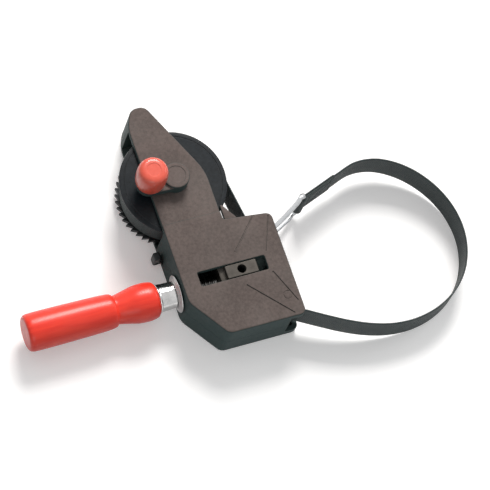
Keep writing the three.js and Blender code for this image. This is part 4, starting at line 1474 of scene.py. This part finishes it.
@dataclass
class Pawl(Assembly):
    """The sprung pawl with its release tab.

    Attributes:
        thick: the lever's thickness.
        lever: the lever's inner and outer radius about the reel.
        nose: the radius of the nose's tip.
        face: the angle of the nose's face about the reel, in degrees.
        back: the angle of the nose's back.
        hub: the angle of the pawl's pin.
        boss: the radius of the boss round that pin.
        half: half of the tab's width.
        stem_end: where the tab's stem ends, in X.
        pad: where the pad on it begins.
        wire: the radius of the spring's wire.
        coil: the radius of its coils.
        turns: their number.
    """

    thick: float = 3.7
    lever: Point = (41.9, 45.9)
    nose: float = 39.35
    face: float = -70.75
    back: float = -74.9
    hub: float = -104.34
    boss: float = 3.8
    half: float = 3
    stem_end: float = -46
    pad: float = -42
    wire: float = 0.33
    coil: float = 2
    turns: int = 7

    def build(self) -> None:
        """Adds the pawl and its spring."""
        box, (x, y, _) = Box.of("pawl"), Box.of("pawl_pin").middle.tolist()
        (low, high), (inside, outside) = box.z, self.lever
        top = low + self.thick
        radius = [outside] * 16 + [inside, self.nose, inside] + [inside] * 13
        angle = np.linspace(self.hub, self.face, 16), [self.face, self.face, self.back]
        angle = np.concatenate((*angle, np.linspace(self.back, self.hub, 14)[1:]))
        parts = [swept(polar(PLACES.reel, np.array(radius), np.radians(angle)), wall(low, top, 0.2, 0.2, 2))]
        parts.append(swept(circle((x, y), self.boss, 48), wall(low, top + 0.02, 0.2, 0.3)))
        width = (y - self.half, y + self.half)
        parts.append(swept(rectangle((self.stem_end, x), width, 0.3), wall(low, top - 0.02, 0.2, 0.2)))
        parts.append(swept(rectangle((box.x[0], self.pad), width, 1.2), wall(low, high, 0.4, 0.7)))
        self.add("pawl_lever", together(parts), Finish.BLACKED, "pawl", "steel", "pawl")
        self._spring()

    def _spring(self) -> None:
        """The pawl's coil spring: P(a) = (r cos a, p a / 2 pi, r sin a), closed at both ends."""
        box = Box.of("pawl_spring")
        x, _, z = box.middle.tolist()
        start, end = float(box.low[1]) + 0.35, float(box.high[1]) - 0.35
        turns = np.linspace(0, self.turns, self.turns * 28 + 1)
        rise = np.interp(turns, [0, 0.9, self.turns - 0.9, self.turns], [0, 0.04, 0.96, 1])
        ring = polar((x, z), self.coil, turns * TURN)
        path = np.column_stack((ring[:, 0], start + rise * (end - start), ring[:, 1]))
        coil = tube(path, self.wire, 8)
        piece = self.add("pawl_spring_coil", coil, Finish.STEEL, "", "steel", "pawl_spring", crease=SOFT)
        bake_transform(piece)


@dataclass
class Tensioner(Assembly):
    """The screw handle and what it draws: spindle, collar, ferrule, handle and carriage.

    Attributes:
        screw: the spindle's radius.
        slack: how far the thread's tips stay inside that radius.
        thread: the thread's start and end in X.
        shoulder: where the neck begins.
        pitch: the thread's pitch.
        depth: the thread's depth.
        neck: the neck's radius.
        bore: the radius of the bores that the spindle runs in.
        ferrule: the ferrule's radius at its front and back.
        handle: the handle's radius.
        cheek_top: the highest level of the carriage's cheeks.
        foot: the thickness of its lower cheek.
        back_wall: the thickness of its wall.
        block: where the block in the window begins, in X, and half of its width.
        pin_hole: the radius of the pin's hole.
    """

    screw: float = 6.0
    slack: float = 0.02
    thread: Point = (-62, -12)
    shoulder: float = -10.8
    pitch: float = 3.0
    depth: float = 0.85
    neck: float = 4
    bore: float = 6.2
    ferrule: Point = (10.0, 11.0)
    handle: float = 14.0
    cheek_top: float = 35.6
    foot: float = 3
    back_wall: float = 4
    block: Point = (-6, 5)
    pin_hole: float = 3.2

    def build(self) -> None:
        """Adds the tensioner's pieces."""
        self._spindle()
        self._collar()
        self._ferrule()
        self._handle()
        self._carriage()

    @staticmethod
    def _along(surface: Surface) -> Surface:
        """Lays a surface turned about Z along the spindle: its Z becomes X."""
        return surface.turned("Y", 90).moved(0, 0, float(Box.of("spindle").middle[2]))

    def _spindle(self) -> None:
        """The screw: a left-hand trapezoid thread, then a plain neck.

        The thread's radius is R - h f(x / p + a / 2 pi), where f is a trapezoid wave from 0 to 1.
        """
        start, end = Box.of("spindle").x
        sides, full = 48, self.screw - self.slack
        rows = np.arange(*self.thread, self.pitch / 10)
        phase = (rows[:, None] / self.pitch + round_angles(sides) / TURN) % 1
        wave = np.interp(phase, [0, 0.14, 0.38, 0.62, 0.86, 1], [0, 0, 1, 1, 0, 0])
        ends = np.clip(np.minimum(rows - rows[0], rows[-1] - rows) / 1.5, 0, 1)[:, None]
        thread = skinned(rings_about_z(rows, full - self.depth * wave * ends, sides))
        shank = lathe([(start, 0), (start, self.screw), (rows[0], full)], sides)
        neck = [(rows[-1], full), (self.shoulder, full), (self.shoulder, self.neck), (end - 0.5, self.neck)]
        neck = lathe(neck + [(end, self.neck - 0.5), (end, 0)], sides)
        screw = self._along(together([shank, thread, neck]))
        self.add("spindle_screw", screw, Finish.OILED, "spindle", "steel", "spindle")

    def _collar(self) -> None:
        """The thin flared collar next to the housing."""
        box = Box.of("spindle_collar")
        (back, front), radius = box.x, box.radius
        flare = eased([(back, 10.4), (back + 0.5, 11.2), (back + 1.2, 12.6), (front - 0.7, radius - 0.3)], 12)
        lip = [(front - 0.35, radius), (front - 0.1, radius - 0.1), (front, radius - 0.5), (front, self.bore)]
        collar = self._along(lathe([(back, self.bore)] + flare + lip, 128, hollow=True))
        names = ("spindle", "ferrule_chrome", "spindle_collar")
        self.add("spindle_collar_pressed", collar, Finish.STEEL, *names, crease=ROUND)

    def _ferrule(self) -> None:
        """The ferrule, with a rolled bead at each end, and its cross pin."""
        back, front = Box.of("ferrule").x
        slim, wide = self.ferrule
        first = ((0, 0.7), (0.15, 0.45), (0.6, 0.05), (1.1, 0.02), (1.6, 0.35), (2.2, 0.5))
        second = ((2.4, 0.1), (1.8, 0.15), (1.2, 0), (0.6, 0), (0.2, 0.3), (0, 0.6))
        profile = [(back, self.bore)] + [(back + along, wide - inset) for along, inset in first]
        profile += [(front - along, slim - inset) for along, inset in second] + [(front, self.bore)]
        ring = self._along(lathe(profile, 128, hollow=True))
        self.add("ferrule_turned", ring, Finish.CHROME, "spindle", "ferrule_chrome", "ferrule", crease=ROUND)
        pin = Box.of("ferrule_pin")
        low, high = pin.z
        dome = [(0, 0), (0.1, 0.9), (0.35, 1.4), (0.6, 1.5)]
        profile = [(low + rise, r) for rise, r in dome] + [(high - rise, r) for rise, r in dome[::-1]]
        domed = lathe(profile, 40).moved(*pin.middle[:2])
        self.add("ferrule_pin_domed", domed, Finish.ZINC, "spindle", "steel", "ferrule_pin", crease=ROUND)

    def _handle(self) -> None:
        """The turned handle: a bulb at the ferrule, a neck with a ring, a long barrel and a rounded end."""
        back, front = Box.of("handle").x
        bulb = [(0.003, 0.84), (0.012, 0.92), (0.03, 0.97), (0.06, 1.01), (0.09, 1.02), (0.16, 0.99)]
        bulb += [(0.22, 0.9), (0.27, 0.82), (0.305, 0.772), (0.32, 0.765)]
        barrel = [(0.3215, 0.8), (0.33, 0.862), (0.345, 0.9), (0.38, 0.93), (0.45, 0.955), (0.6, 0.98)]
        barrel += [(0.8, 1), (0.94, 1), (0.968, 0.985), (0.985, 0.945), (0.995, 0.88), (0.9985, 0.82)]
        profile = [(front, self.bore), (front, self.handle * 0.78)]
        for shares, count in ((bulb, 60), (barrel, 90)):
            profile += eased([(front - a * (front - back), r * self.handle) for a, r in shares], count)
        profile += [(back, self.handle * 0.76), (back, 0)]
        handle = self._along(lathe(profile, 160))
        self.add("handle_turned", handle, Finish.HANDLE, "spindle", "handle_red", "handle", crease=ROUND)

    def _carriage(self) -> None:
        """The cast carriage: wall, two cheeks and the block that runs in the window, with its pin's hole."""
        box = Box.of("carriage")
        (low, high), (back, front), half = box.z, box.x, box.radius
        plan = rectangle((back, front), (-half, half), 1.2)
        start, side = self.block
        block = rectangle((start, front), (-side, side), 1.0)
        sink = wall(low + 1, high, 0, -0.45) + [(-0.45, high + 1)]
        hole = swept(circle(PLACES.roller, self.pin_hole, 48), sink)
        bored = {
            "cast_block": swept(block, wall(34.0, high, 0, 0.6)),
            "cast_cheek": swept(plan, wall(34.1, self.cheek_top, 0.2, 0.5)),
            "cast_foot": swept(plan, wall(low, low + self.foot, 0.5, 0.5)),
        }
        rear = rectangle((back, back + self.back_wall), (-half, half), 0.5)
        rear = swept(rear, wall(low + 0.5, self.cheek_top - 0.3))
        work = bmesh.new()
        for name, shape in bored.items():
            work.from_mesh(carved(name, shape, [hole]))
        work.from_mesh(build_mesh("cast_wall", rear))
        mesh = bpy.data.meshes.new("carriage_casting")
        work.to_mesh(mesh)
        work.free()
        smooth(mesh, CREASE)
        self.add("carriage_casting", mesh, Finish.CAST, "carriage", "cast_zinc", "carriage")


@dataclass
class Guides(Assembly):
    """The rollers and pins that lead the band through the head.

    Attributes:
        edge: the chamfer of rollers and pins.
        rollers: each roller, which is a body of its own, and its bore's radius.
        pins: each pin and the body that it rides on.
        blind_hole: (depth, r) pairs of the hole in the carriage pin's top.
    """

    edge: float = 0.4
    rollers: tuple[tuple[str, float], ...] = (
        ("guide_roller_inner", 2.8), ("guide_roller_outer", 2.8), ("carriage_roller", 3.3),
    )
    pins: tuple[tuple[str, str], ...] = (
        ("guide_pin_inner", "housing"), ("guide_pin_outer", "housing"), ("anchor_pin", "housing"),
        ("pawl_pin", "housing"), ("carriage_pin", "carriage"),
    )
    blind_hole: tuple[Point, ...] = ((0, 2.75), (0.3, 2.6), (12, 2.6), (13, 0))

    def _turned(
        self, node: str, body: str, finish: Finish, bore: float = 0, hole: Sequence[Point] = (),
    ) -> None:
        """Adds a chamfered roller or pin.

        Args:
            node: the CAD node that it stands for.
            body: the body that it rides on.
            finish: its finish.
            bore: the radius of its bore, or 0 for a pin.
            hole: (depth, r) pairs of a pin's blind hole.
        """
        box = Box.of(node)
        (low, high), radius, edge = box.z, box.radius, self.edge
        profile = [(low, bore), (low, radius - edge), (low + edge, radius), (high - edge, radius)]
        profile += [(high, radius - edge)] + [(high - depth, r) for depth, r in hole or [(0, bore)]]
        shape = lathe(profile, 64 if bore else 48, hollow=bool(bore)).moved(*box.middle[:2])
        self.add(node + "_turned", shape, finish, body, "steel", node)

    def build(self) -> None:
        """Adds the rollers, their pins and the anchor pin."""
        for node, bore in self.rollers:
            self._turned(node, node, Finish.STEEL, bore)
        for node, body in self.pins:
            if node == "carriage_pin":
                self._turned(node, body, Finish.BLACKED, hole=self.blind_hole)
            else:
                self._turned(node, body, Finish.STEEL)


@dataclass(frozen=True)
class Stop:
    """A wheel that the band runs round.

    Attributes:
        axis: its axis, as X and Y.
        turn: the radius of the band's middle, above zero where the wheel is on the band's left.
    """

    axis: Point
    turn: float

    def leave(self, heading: float | Array) -> Array:
        """The band's point on the wheel where it has a heading."""
        return polar(self.axis, self.turn, heading - math.pi / 2)

    def arc(self, start: float, end: float, steps: int) -> Array:
        """The band's points round the wheel from one heading to another.

        Args:
            start: the first heading.
            end: the last heading.
            steps: the number of points.

        Returns:
            The points.
        """
        way = math.copysign(1, self.turn)
        return self.leave(start + way * np.linspace(0, ((end - start) * way) % TURN, steps))

    def run_to(self, other: "Stop") -> tuple[float, Array, Array]:
        """The straight run to the next wheel, tangent to both.

        Its heading is atan2(D) - asin((t2 - t1) / |D|), with D from the first axis to the second.

        Args:
            other: the wheel that it meets.

        Returns:
            Its heading, start and end.
        """
        x, y = np.subtract(other.axis, self.axis).tolist()
        heading = math.atan2(y, x) - math.asin((other.turn - self.turn) / math.hypot(x, y))
        return heading, self.leave(heading), other.leave(heading)


def eased_share(share: Array, start: float, end: float) -> Array:
    """Rises from 0 at start to 1 at end as 3s^2 - 2s^3."""
    step = np.clip((share - start) / (end - start), 0, 1)
    return step * step * (3 - 2 * step)


@dataclass
class Band(Assembly):
    """The band outside the reel: its runs in the head, the free loop, the sewn end and the hook.

    Attributes:
        loop_points: the free loop's way over the bench, as listed points.
        exit_heading: its heading at the head's front corner, in degrees.
        hook_heading: the hook's direction from the anchor pin.
        hook_reach: the hook's length from the pin to the middle of its bar.
        sewn_length: the length of the sewn end.
        fit_gap: the gap between pieces that rest on each other.
        drop_start: the shares of the loop's length over which it comes down to the bench.
        drop_end: the shares over which it rises again.
        reel_turn: the radius on which the band leaves the reel.
        wire: the radius of the hook's wire.
        pin: the anchor pin's radius.
        prong: how far the hook's two prongs lie from the band's middle.
        bar: half of the length of its bar.
        lap: half of the way between the middles of the sewn end's two layers.
        eye: how far from the bar's eye the layers meet.
        seam: the seam's distance from the bar, from the sewn end's tail and from the band's edge.
        stitch: the length of a stitch and of the rest to the next.
        proud: how far a stitch stands from the sewn end's middle.
    """

    loop_points: tuple[Point, ...] = (
        (41, -39.6), (56, -48), (72, -56), (89, -62.4), (107, -66.2), (125.5, -66.2), (143, -62),
        (158.5, -53.4), (170.8, -40.8), (178.6, -25.2), (181.6, -8), (179.8, 9.4), (173.2, 25.8),
        (162.6, 40), (149, 51), (133.5, 57.8), (117.3, 58.8),
    )
    exit_heading: float = -30
    hook_heading: float = 20
    hook_reach: float = 38
    sewn_length: float = 30
    fit_gap: float = 0.3
    drop_start: Point = (0.04, 0.34)
    drop_end: Point = (0.64, 0.97)
    reel_turn: float = 37.355
    wire: float = 1.8
    pin: float = 3.0
    prong: float = 8.5
    bar: float = 16.6
    lap: float = 0.7
    eye: float = 2.2
    seam: Triple = (7, 2.5, 3)
    stitch: Point = (2.0, 0.7)
    proud: float = 1.35

    def __post_init__(self) -> None:
        """Reads the band's height from the frame and works out its straight runs."""
        low, high = Box.of("band_feed").z
        self.middle = (low + high) / 2
        self.drop = low - Box.of("band_loop").z[0]
        on = self.fit_gap + BAND_THICK / 2
        turns = (-self.reel_turn, -(GUIDE_RADIUS + on), 6 + on, GUIDE_RADIUS + on)
        axes = (PLACES.reel, PLACES.inner, PLACES.roller, PLACES.outer)
        self.stops = [Stop(axis, turn) for axis, turn in zip(axes, turns)]
        self.runs = [first.run_to(second) for first, second in zip(self.stops, self.stops[1:])]

    def _cloth(
        self, name: str, path: Array, body: str, *nodes: str, rows: int = 7, start: float = 0,
    ) -> Object:
        """Adds a length of band.

        Args:
            name: the piece's name.
            path: its line, lifted to the band's middle height if it is flat.
            body: the body that it rides on; empty for a piece on no body.
            nodes: the CAD nodes that it stands for.
            rows: the points over its width.
            start: the way along the band at its start, for the weave.

        Returns:
            The new object.
        """
        if path.shape[1] == 2:
            path = np.column_stack((path, np.full(len(path), self.middle)))
        shape = strap(path, rows, start)
        return self.add(name, shape, Finish.BAND_WEAVE, body, "webbing", *nodes, crease=SOFT)

    def place(self, along: float | Array, across: float | Array = 0, up: float | Array = 0) -> Array:
        """Points by the way from the anchor pin along the hook, to its left, and up from its middle.

        Args:
            along: the way along it, towards the band.
            across: the way to the left of that.
            up: the height above the band's middle.

        Returns:
            X, Y and Z.
        """
        x, y = PLACES.anchor
        cos, sin = math.cos(math.radians(self.hook_heading)), math.sin(math.radians(self.hook_heading))
        flat = x + cos * along - sin * across, y + sin * along + cos * across
        return np.stack(np.broadcast_arrays(*flat, self.middle + up), axis=-1)

    def loop_line(self, count: int) -> Array:
        """The free loop's middle line: listed points, eased down to the bench and up again.

        Args:
            count: the number of points wanted.

        Returns:
            The line's points.
        """
        lead = self.stops[3].arc(self.runs[2][0], math.radians(self.exit_heading), 2)
        last = self.place(self.hook_reach + self.sewn_length + self.fit_gap)[:2]
        flat = curve_through(np.vstack((lead, self.loop_points, last)), count)
        share = np.linspace(0, 1, count)
        down = eased_share(share, *self.drop_start) * (1 - eased_share(share, *self.drop_end))
        return np.column_stack((flat, self.middle - self.drop * down))

    def build_loop(self) -> None:
        line = self.loop_line(420)
        loop = self._cloth("free_band", line, "housing", "band_loop", rows=13, start=400)
        hook = self._hook()
        sewn = self._sewn_end()
        stitches = self._stitches()

    def build(self) -> None:
        """Adds the band's runs inside: reel to inner guide, and round the carriage's roller."""
        feed, inner, outer = self.runs
        reel, guide, roller, _ = self.stops
        around = reel.leave(feed[0] + np.linspace(math.radians(70), 0, 24))
        bend = guide.arc(feed[0], inner[0], 24)
        path = np.vstack((around, np.linspace(feed[1], feed[2], 12)[1:-1], bend))
        self._cloth("band_feed_run", path, "housing", "band_feed", start=100)
        bight = roller.arc(inner[0], outer[0], 40)
        self._cloth("band_bight", bight, "carriage", "band_tension_run", start=180)
        near = np.linspace(inner[1] + (inner[2] - inner[1]) * 0.02, inner[2], 20)
        far = np.linspace(outer[1], outer[2] - (outer[2] - outer[1]) * 0.02, 20)
        for name, run, ends in (("band_leg_inner", near, (0, -1)), ("band_leg_outer", far, (-1, 0))):
            leg = self._cloth(name, run, "", start=150)
            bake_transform(leg)

    def _hook(self) -> Object:
        """The hook: one wire, curled round the anchor pin, out to the bar in the band's eye, and back.

        Returns:
            The new object.
        """
        curl, prong, bar = self.pin + self.fit_gap + self.wire, self.prong, self.bar
        bend, reach = 2 * self.wire, self.hook_reach
        angle = math.radians(205) * np.linspace(1, 0, 15)
        turn = np.radians([0, 30, 60, 90])
        along, up = reach - bend + bend * np.sin(turn), bar - bend + bend * np.cos(turn)
        half = np.vstack((
            np.column_stack((-curl * np.sin(angle), -curl * np.cos(angle), np.full(len(angle), prong))),
            (curl, -curl, prong),
            (reach - 2 * bend, -curl / 4, bar - bend / 4),
            np.column_stack((along, np.zeros(len(turn)), up)),
            (reach, 0, bar - bend - self.fit_gap),
        ))
        full = np.vstack((half, half[::-1] * (1, 1, -1)))
        wire = tube(curve_through(self.place(*full.T), 260), self.wire, 24)
        return self.add("wire_hook_bent", wire, Finish.ZINC, "housing", "zinc_wire", "wire_hook", crease=SOFT)

    def _sewn_end(self) -> Object:
        """The band's end: round the hook's bar and back on itself, two layers sewn flat.

        Returns:
            The new object.
        """
        half = self.lap
        radius = self.wire + self.fit_gap + BAND_THICK / 2
        lean = math.asin(half / radius)
        reach, tail = self.hook_reach, self.hook_reach + self.sewn_length
        joint = reach + radius * math.cos(lean) + self.eye
        eye = polar((reach, 0), radius, np.linspace(lean, TURN - lean, 40))
        there = [(x, half) for x in np.linspace(tail, joint, 24)]
        back = [(x, -half) for x in np.linspace(joint, tail - 0.6, 24)]
        line = spaced(np.vstack((there, eye, back)), 150)
        return self._cloth("band_sewn_end", self.place(*line.T), "housing", "band_end", rows=9, start=20)

    def _stitches(self) -> Object:
        """Rows of thread through the sewn end: a box with a cross in it, on both sides.

        Returns:
            The new object.
        """
        from_bar, from_tail, from_edge = self.seam
        first, last = self.hook_reach + from_bar, self.hook_reach + self.sewn_length - from_tail
        side = BAND_WIDTH / 2 - from_edge
        a, b, c, d = (first, -side), (last, -side), (last, side), (first, side)
        rows = np.array([(a, b), (b, c), (c, d), (d, a), (a, c), (d, b)])
        stitch, rest = self.stitch
        share, rise = np.array([(0, 0.928), (0.25, 1), (0.75, 1), (1, 0.928)]).T
        threads = []
        for begin, finish in rows:
            length = np.linalg.norm(finish - begin)
            ahead = (finish - begin) / length
            for i in range(int(length / (stitch + rest))):
                spots = begin + ahead * (i * (stitch + rest) + rest + share * stitch)[:, None]
                for face in (-self.proud, self.proud):
                    threads.append(tube(self.place(spots[:, 0], face * rise, spots[:, 1]), 0.22, 6))
        shape = together(threads)
        return self.add("band_stitching", shape, Finish.STITCHING, "housing", "webbing", crease=SOFT)


@dataclass
class Leftovers(Assembly):
    """The CAD nodes whose own shape stays.

    Attributes:
        finishes: each node and its finish.
    """

    finishes: tuple[tuple[str, Finish], ...] = (
        ("reel_shaft", Finish.STEEL), ("reel_core", Finish.REEL), ("spindle_nut", Finish.BRASS),
        ("thrust_washer", Finish.STEEL), ("retaining_ring", Finish.STEEL),
    )

    def build(self) -> None:
        """Gives each node its material."""
        for node, finish in self.finishes:
            for place in bpy.data.objects[node].material_slots:
                place.material = self.materials.of[finish]


# Camera, light and floor


@dataclass(frozen=True)
class CameraView:
    """How the clamp is seen.

    Attributes:
        azimuth: round the object, in degrees; 0 looks along +Y.
        elevation: above the horizon, in degrees.
        roll: how far the picture's content leans clockwise, in degrees.
        distance: from the target, in metres.
        lens: the focal length in millimetres.
        target: the point that it looks at, in metres.
    """

    azimuth: float = -43.7
    elevation: float = 66.5
    roll: float = 26.5
    distance: float = 2.6
    lens: float = 262
    target: Triple = (0.0187, 0.0214, 0.0242)


@dataclass(frozen=True)
class Lamp:
    """A square lamp that looks at the object, with its place and size in metres and its power in watts."""

    name: str
    place: Triple
    size: float
    power: float
    colour: Triple


@dataclass(frozen=True)
class Studio:
    """The camera, the lamps, the world and the pale floor.

    Attributes:
        view: how the clamp is seen.
        lamps: a large soft key, a low fill and a rim lamp.
        floor_half: half of the floor's width.
        floor_level: the floor's Z, just under the clamp.
        floor_unseen: the floor's colour for light that falls on the clamp.
    """

    view: CameraView = CameraView()
    lamps: tuple[Lamp, ...] = (
        Lamp("key", (0.72, 1.72, 1.82), 1.0, 66.0, (1, 0.975, 0.95)),
        Lamp("fill", (-0.7, -1.4, 0.9), 0.9, 4.6, (0.85, 0.98, 1)),
        Lamp("rim", (1.1, 0.3, 0.8), 0.5, 2.0, (1, 1, 1)),
    )
    floor_half: float = 3000.0
    floor_level: float = -0.15
    floor_unseen: Colour = (0.17, 0.25, 0.26, 1)

    def camera(self) -> None:
        """Places the camera."""
        scene, seen = bpy.context.scene, self.view
        data = bpy.data.cameras.new("camera")
        data.lens, data.sensor_width = seen.lens, 36
        data.clip_start, data.clip_end = 0.05, 50
        camera = bpy.data.objects.new("camera", data)
        scene.collection.objects.link(camera)
        a, e, r = (math.radians(v) for v in (seen.azimuth, seen.elevation, seen.roll))
        back = Vector((math.sin(a) * math.cos(e), -math.cos(a) * math.cos(e), math.sin(e)))
        right = Vector((math.cos(a), math.sin(a), 0))
        up = back.cross(right)
        axes = (right * math.cos(r) + up * math.sin(r), up * math.cos(r) - right * math.sin(r), back)
        turn = Matrix(axes).transposed().to_4x4()
        camera.matrix_world = Matrix.Translation(Vector(seen.target) + back * seen.distance) @ turn
        scene.camera = camera

    def light(self) -> None:
        """Adds the lamps."""
        for seen in self.lamps:
            data = bpy.data.lights.new(seen.name, "AREA")
            data.shape, data.size, data.energy, data.color = "SQUARE", seen.size, seen.power, seen.colour
            lamp = bpy.data.objects.new(seen.name, data)
            bpy.context.scene.collection.objects.link(lamp)
            lamp.location = seen.place
            lamp.rotation_mode = "QUATERNION"
            lamp.rotation_quaternion = (-Vector(seen.place)).to_track_quat("-Z", "Y")

    @staticmethod
    def _seen(build: Nodes) -> Socket:
        """Tells rays that look from light that falls on the clamp.

        Args:
            build: the material's or the world's builder.

        Returns:
            A socket that is 1 for a camera, glossy or transmitted ray, and 0 for others.
        """
        path = build.add("ShaderNodeLightPath").outputs
        shiny = build.math("MAXIMUM", path["Is Glossy Ray"], path["Is Transmission Ray"])
        return build.math("MAXIMUM", path["Is Camera Ray"], shiny)

    def world(self) -> None:
        """A soft surround, dim at the horizon and brighter above, that the camera sees as white."""
        world = bpy.data.worlds.new("surround")
        bpy.context.scene.world = world
        world.use_nodes = True
        build = Nodes(world.node_tree)
        seen = self._seen(build)
        height = build.parts(build.add("ShaderNodeTexCoord").outputs["Generated"])["Z"]
        tint = build.blend(build.ramp(height, 0.0, 0.6), (0.65, 0.96, 1.0, 1), grey(1.0))
        colour = build.blend(seen, tint, grey(1.0))
        strength = build.math("MAXIMUM", seen, build.ramp(height, 0.0, 1.0, 0.1, 0.55))
        surround = build.add("ShaderNodeBackground", {"Color": colour, "Strength": strength})
        build.add("ShaderNodeOutputWorld", {"Surface": surround.outputs[0]})

    def floor(self) -> None:
        """A floor that the camera sees as white with a soft shadow, and that throws little light back."""
        corners = np.array([(x, y, 0) for x, y in ((-1, -1), (1, -1), (1, 1), (-1, 1))]) * self.floor_half
        mesh = build_mesh("floor", Surface(corners, [(0, 1, 2, 3)]).moved(0, 0, self.floor_level))
        material = bpy.data.materials.new("pale_floor")
        material.use_nodes = True
        build = Nodes(material.node_tree)
        seen = self._seen(build)
        surface = build.add("ShaderNodeBsdfPrincipled", {
            "Base Color": build.blend(seen, self.floor_unseen, grey(0.97)),
            "Roughness": 0.9,
            "Emission Strength": build.product(seen, 0.2),
            "Emission Color": (1, 0.93, 0.92, 1),
        })
        build.add("ShaderNodeOutputMaterial", {"Surface": surface.outputs[0]})
        mesh.materials.append(material)
        floor = bpy.data.objects.new("floor", mesh)
        bpy.context.scene.collection.objects.link(floor)


def main() -> None:
    """Builds the camera and the free band first, then each sub-assembly."""
    logging.basicConfig(level=logging.INFO, format="%(name)s: %(message)s")
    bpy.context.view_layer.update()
    scene = bpy.context.scene
    scene.view_settings.view_transform = "Standard"
    studio = Studio()
    studio.camera()
    materials = Materials()
    band = Band(materials)
    band.build_loop()
    parts = [kind(materials) for kind in (Housing, Reel, Crank, Pawl, Tensioner, Guides)]
    for part in (*parts, band, Leftovers(materials)):
        part.build()
        log.info("%s: built", type(part).__name__)
    studio.light()
    studio.world()
    studio.floor()


if __name__ == "__main__":
    main()
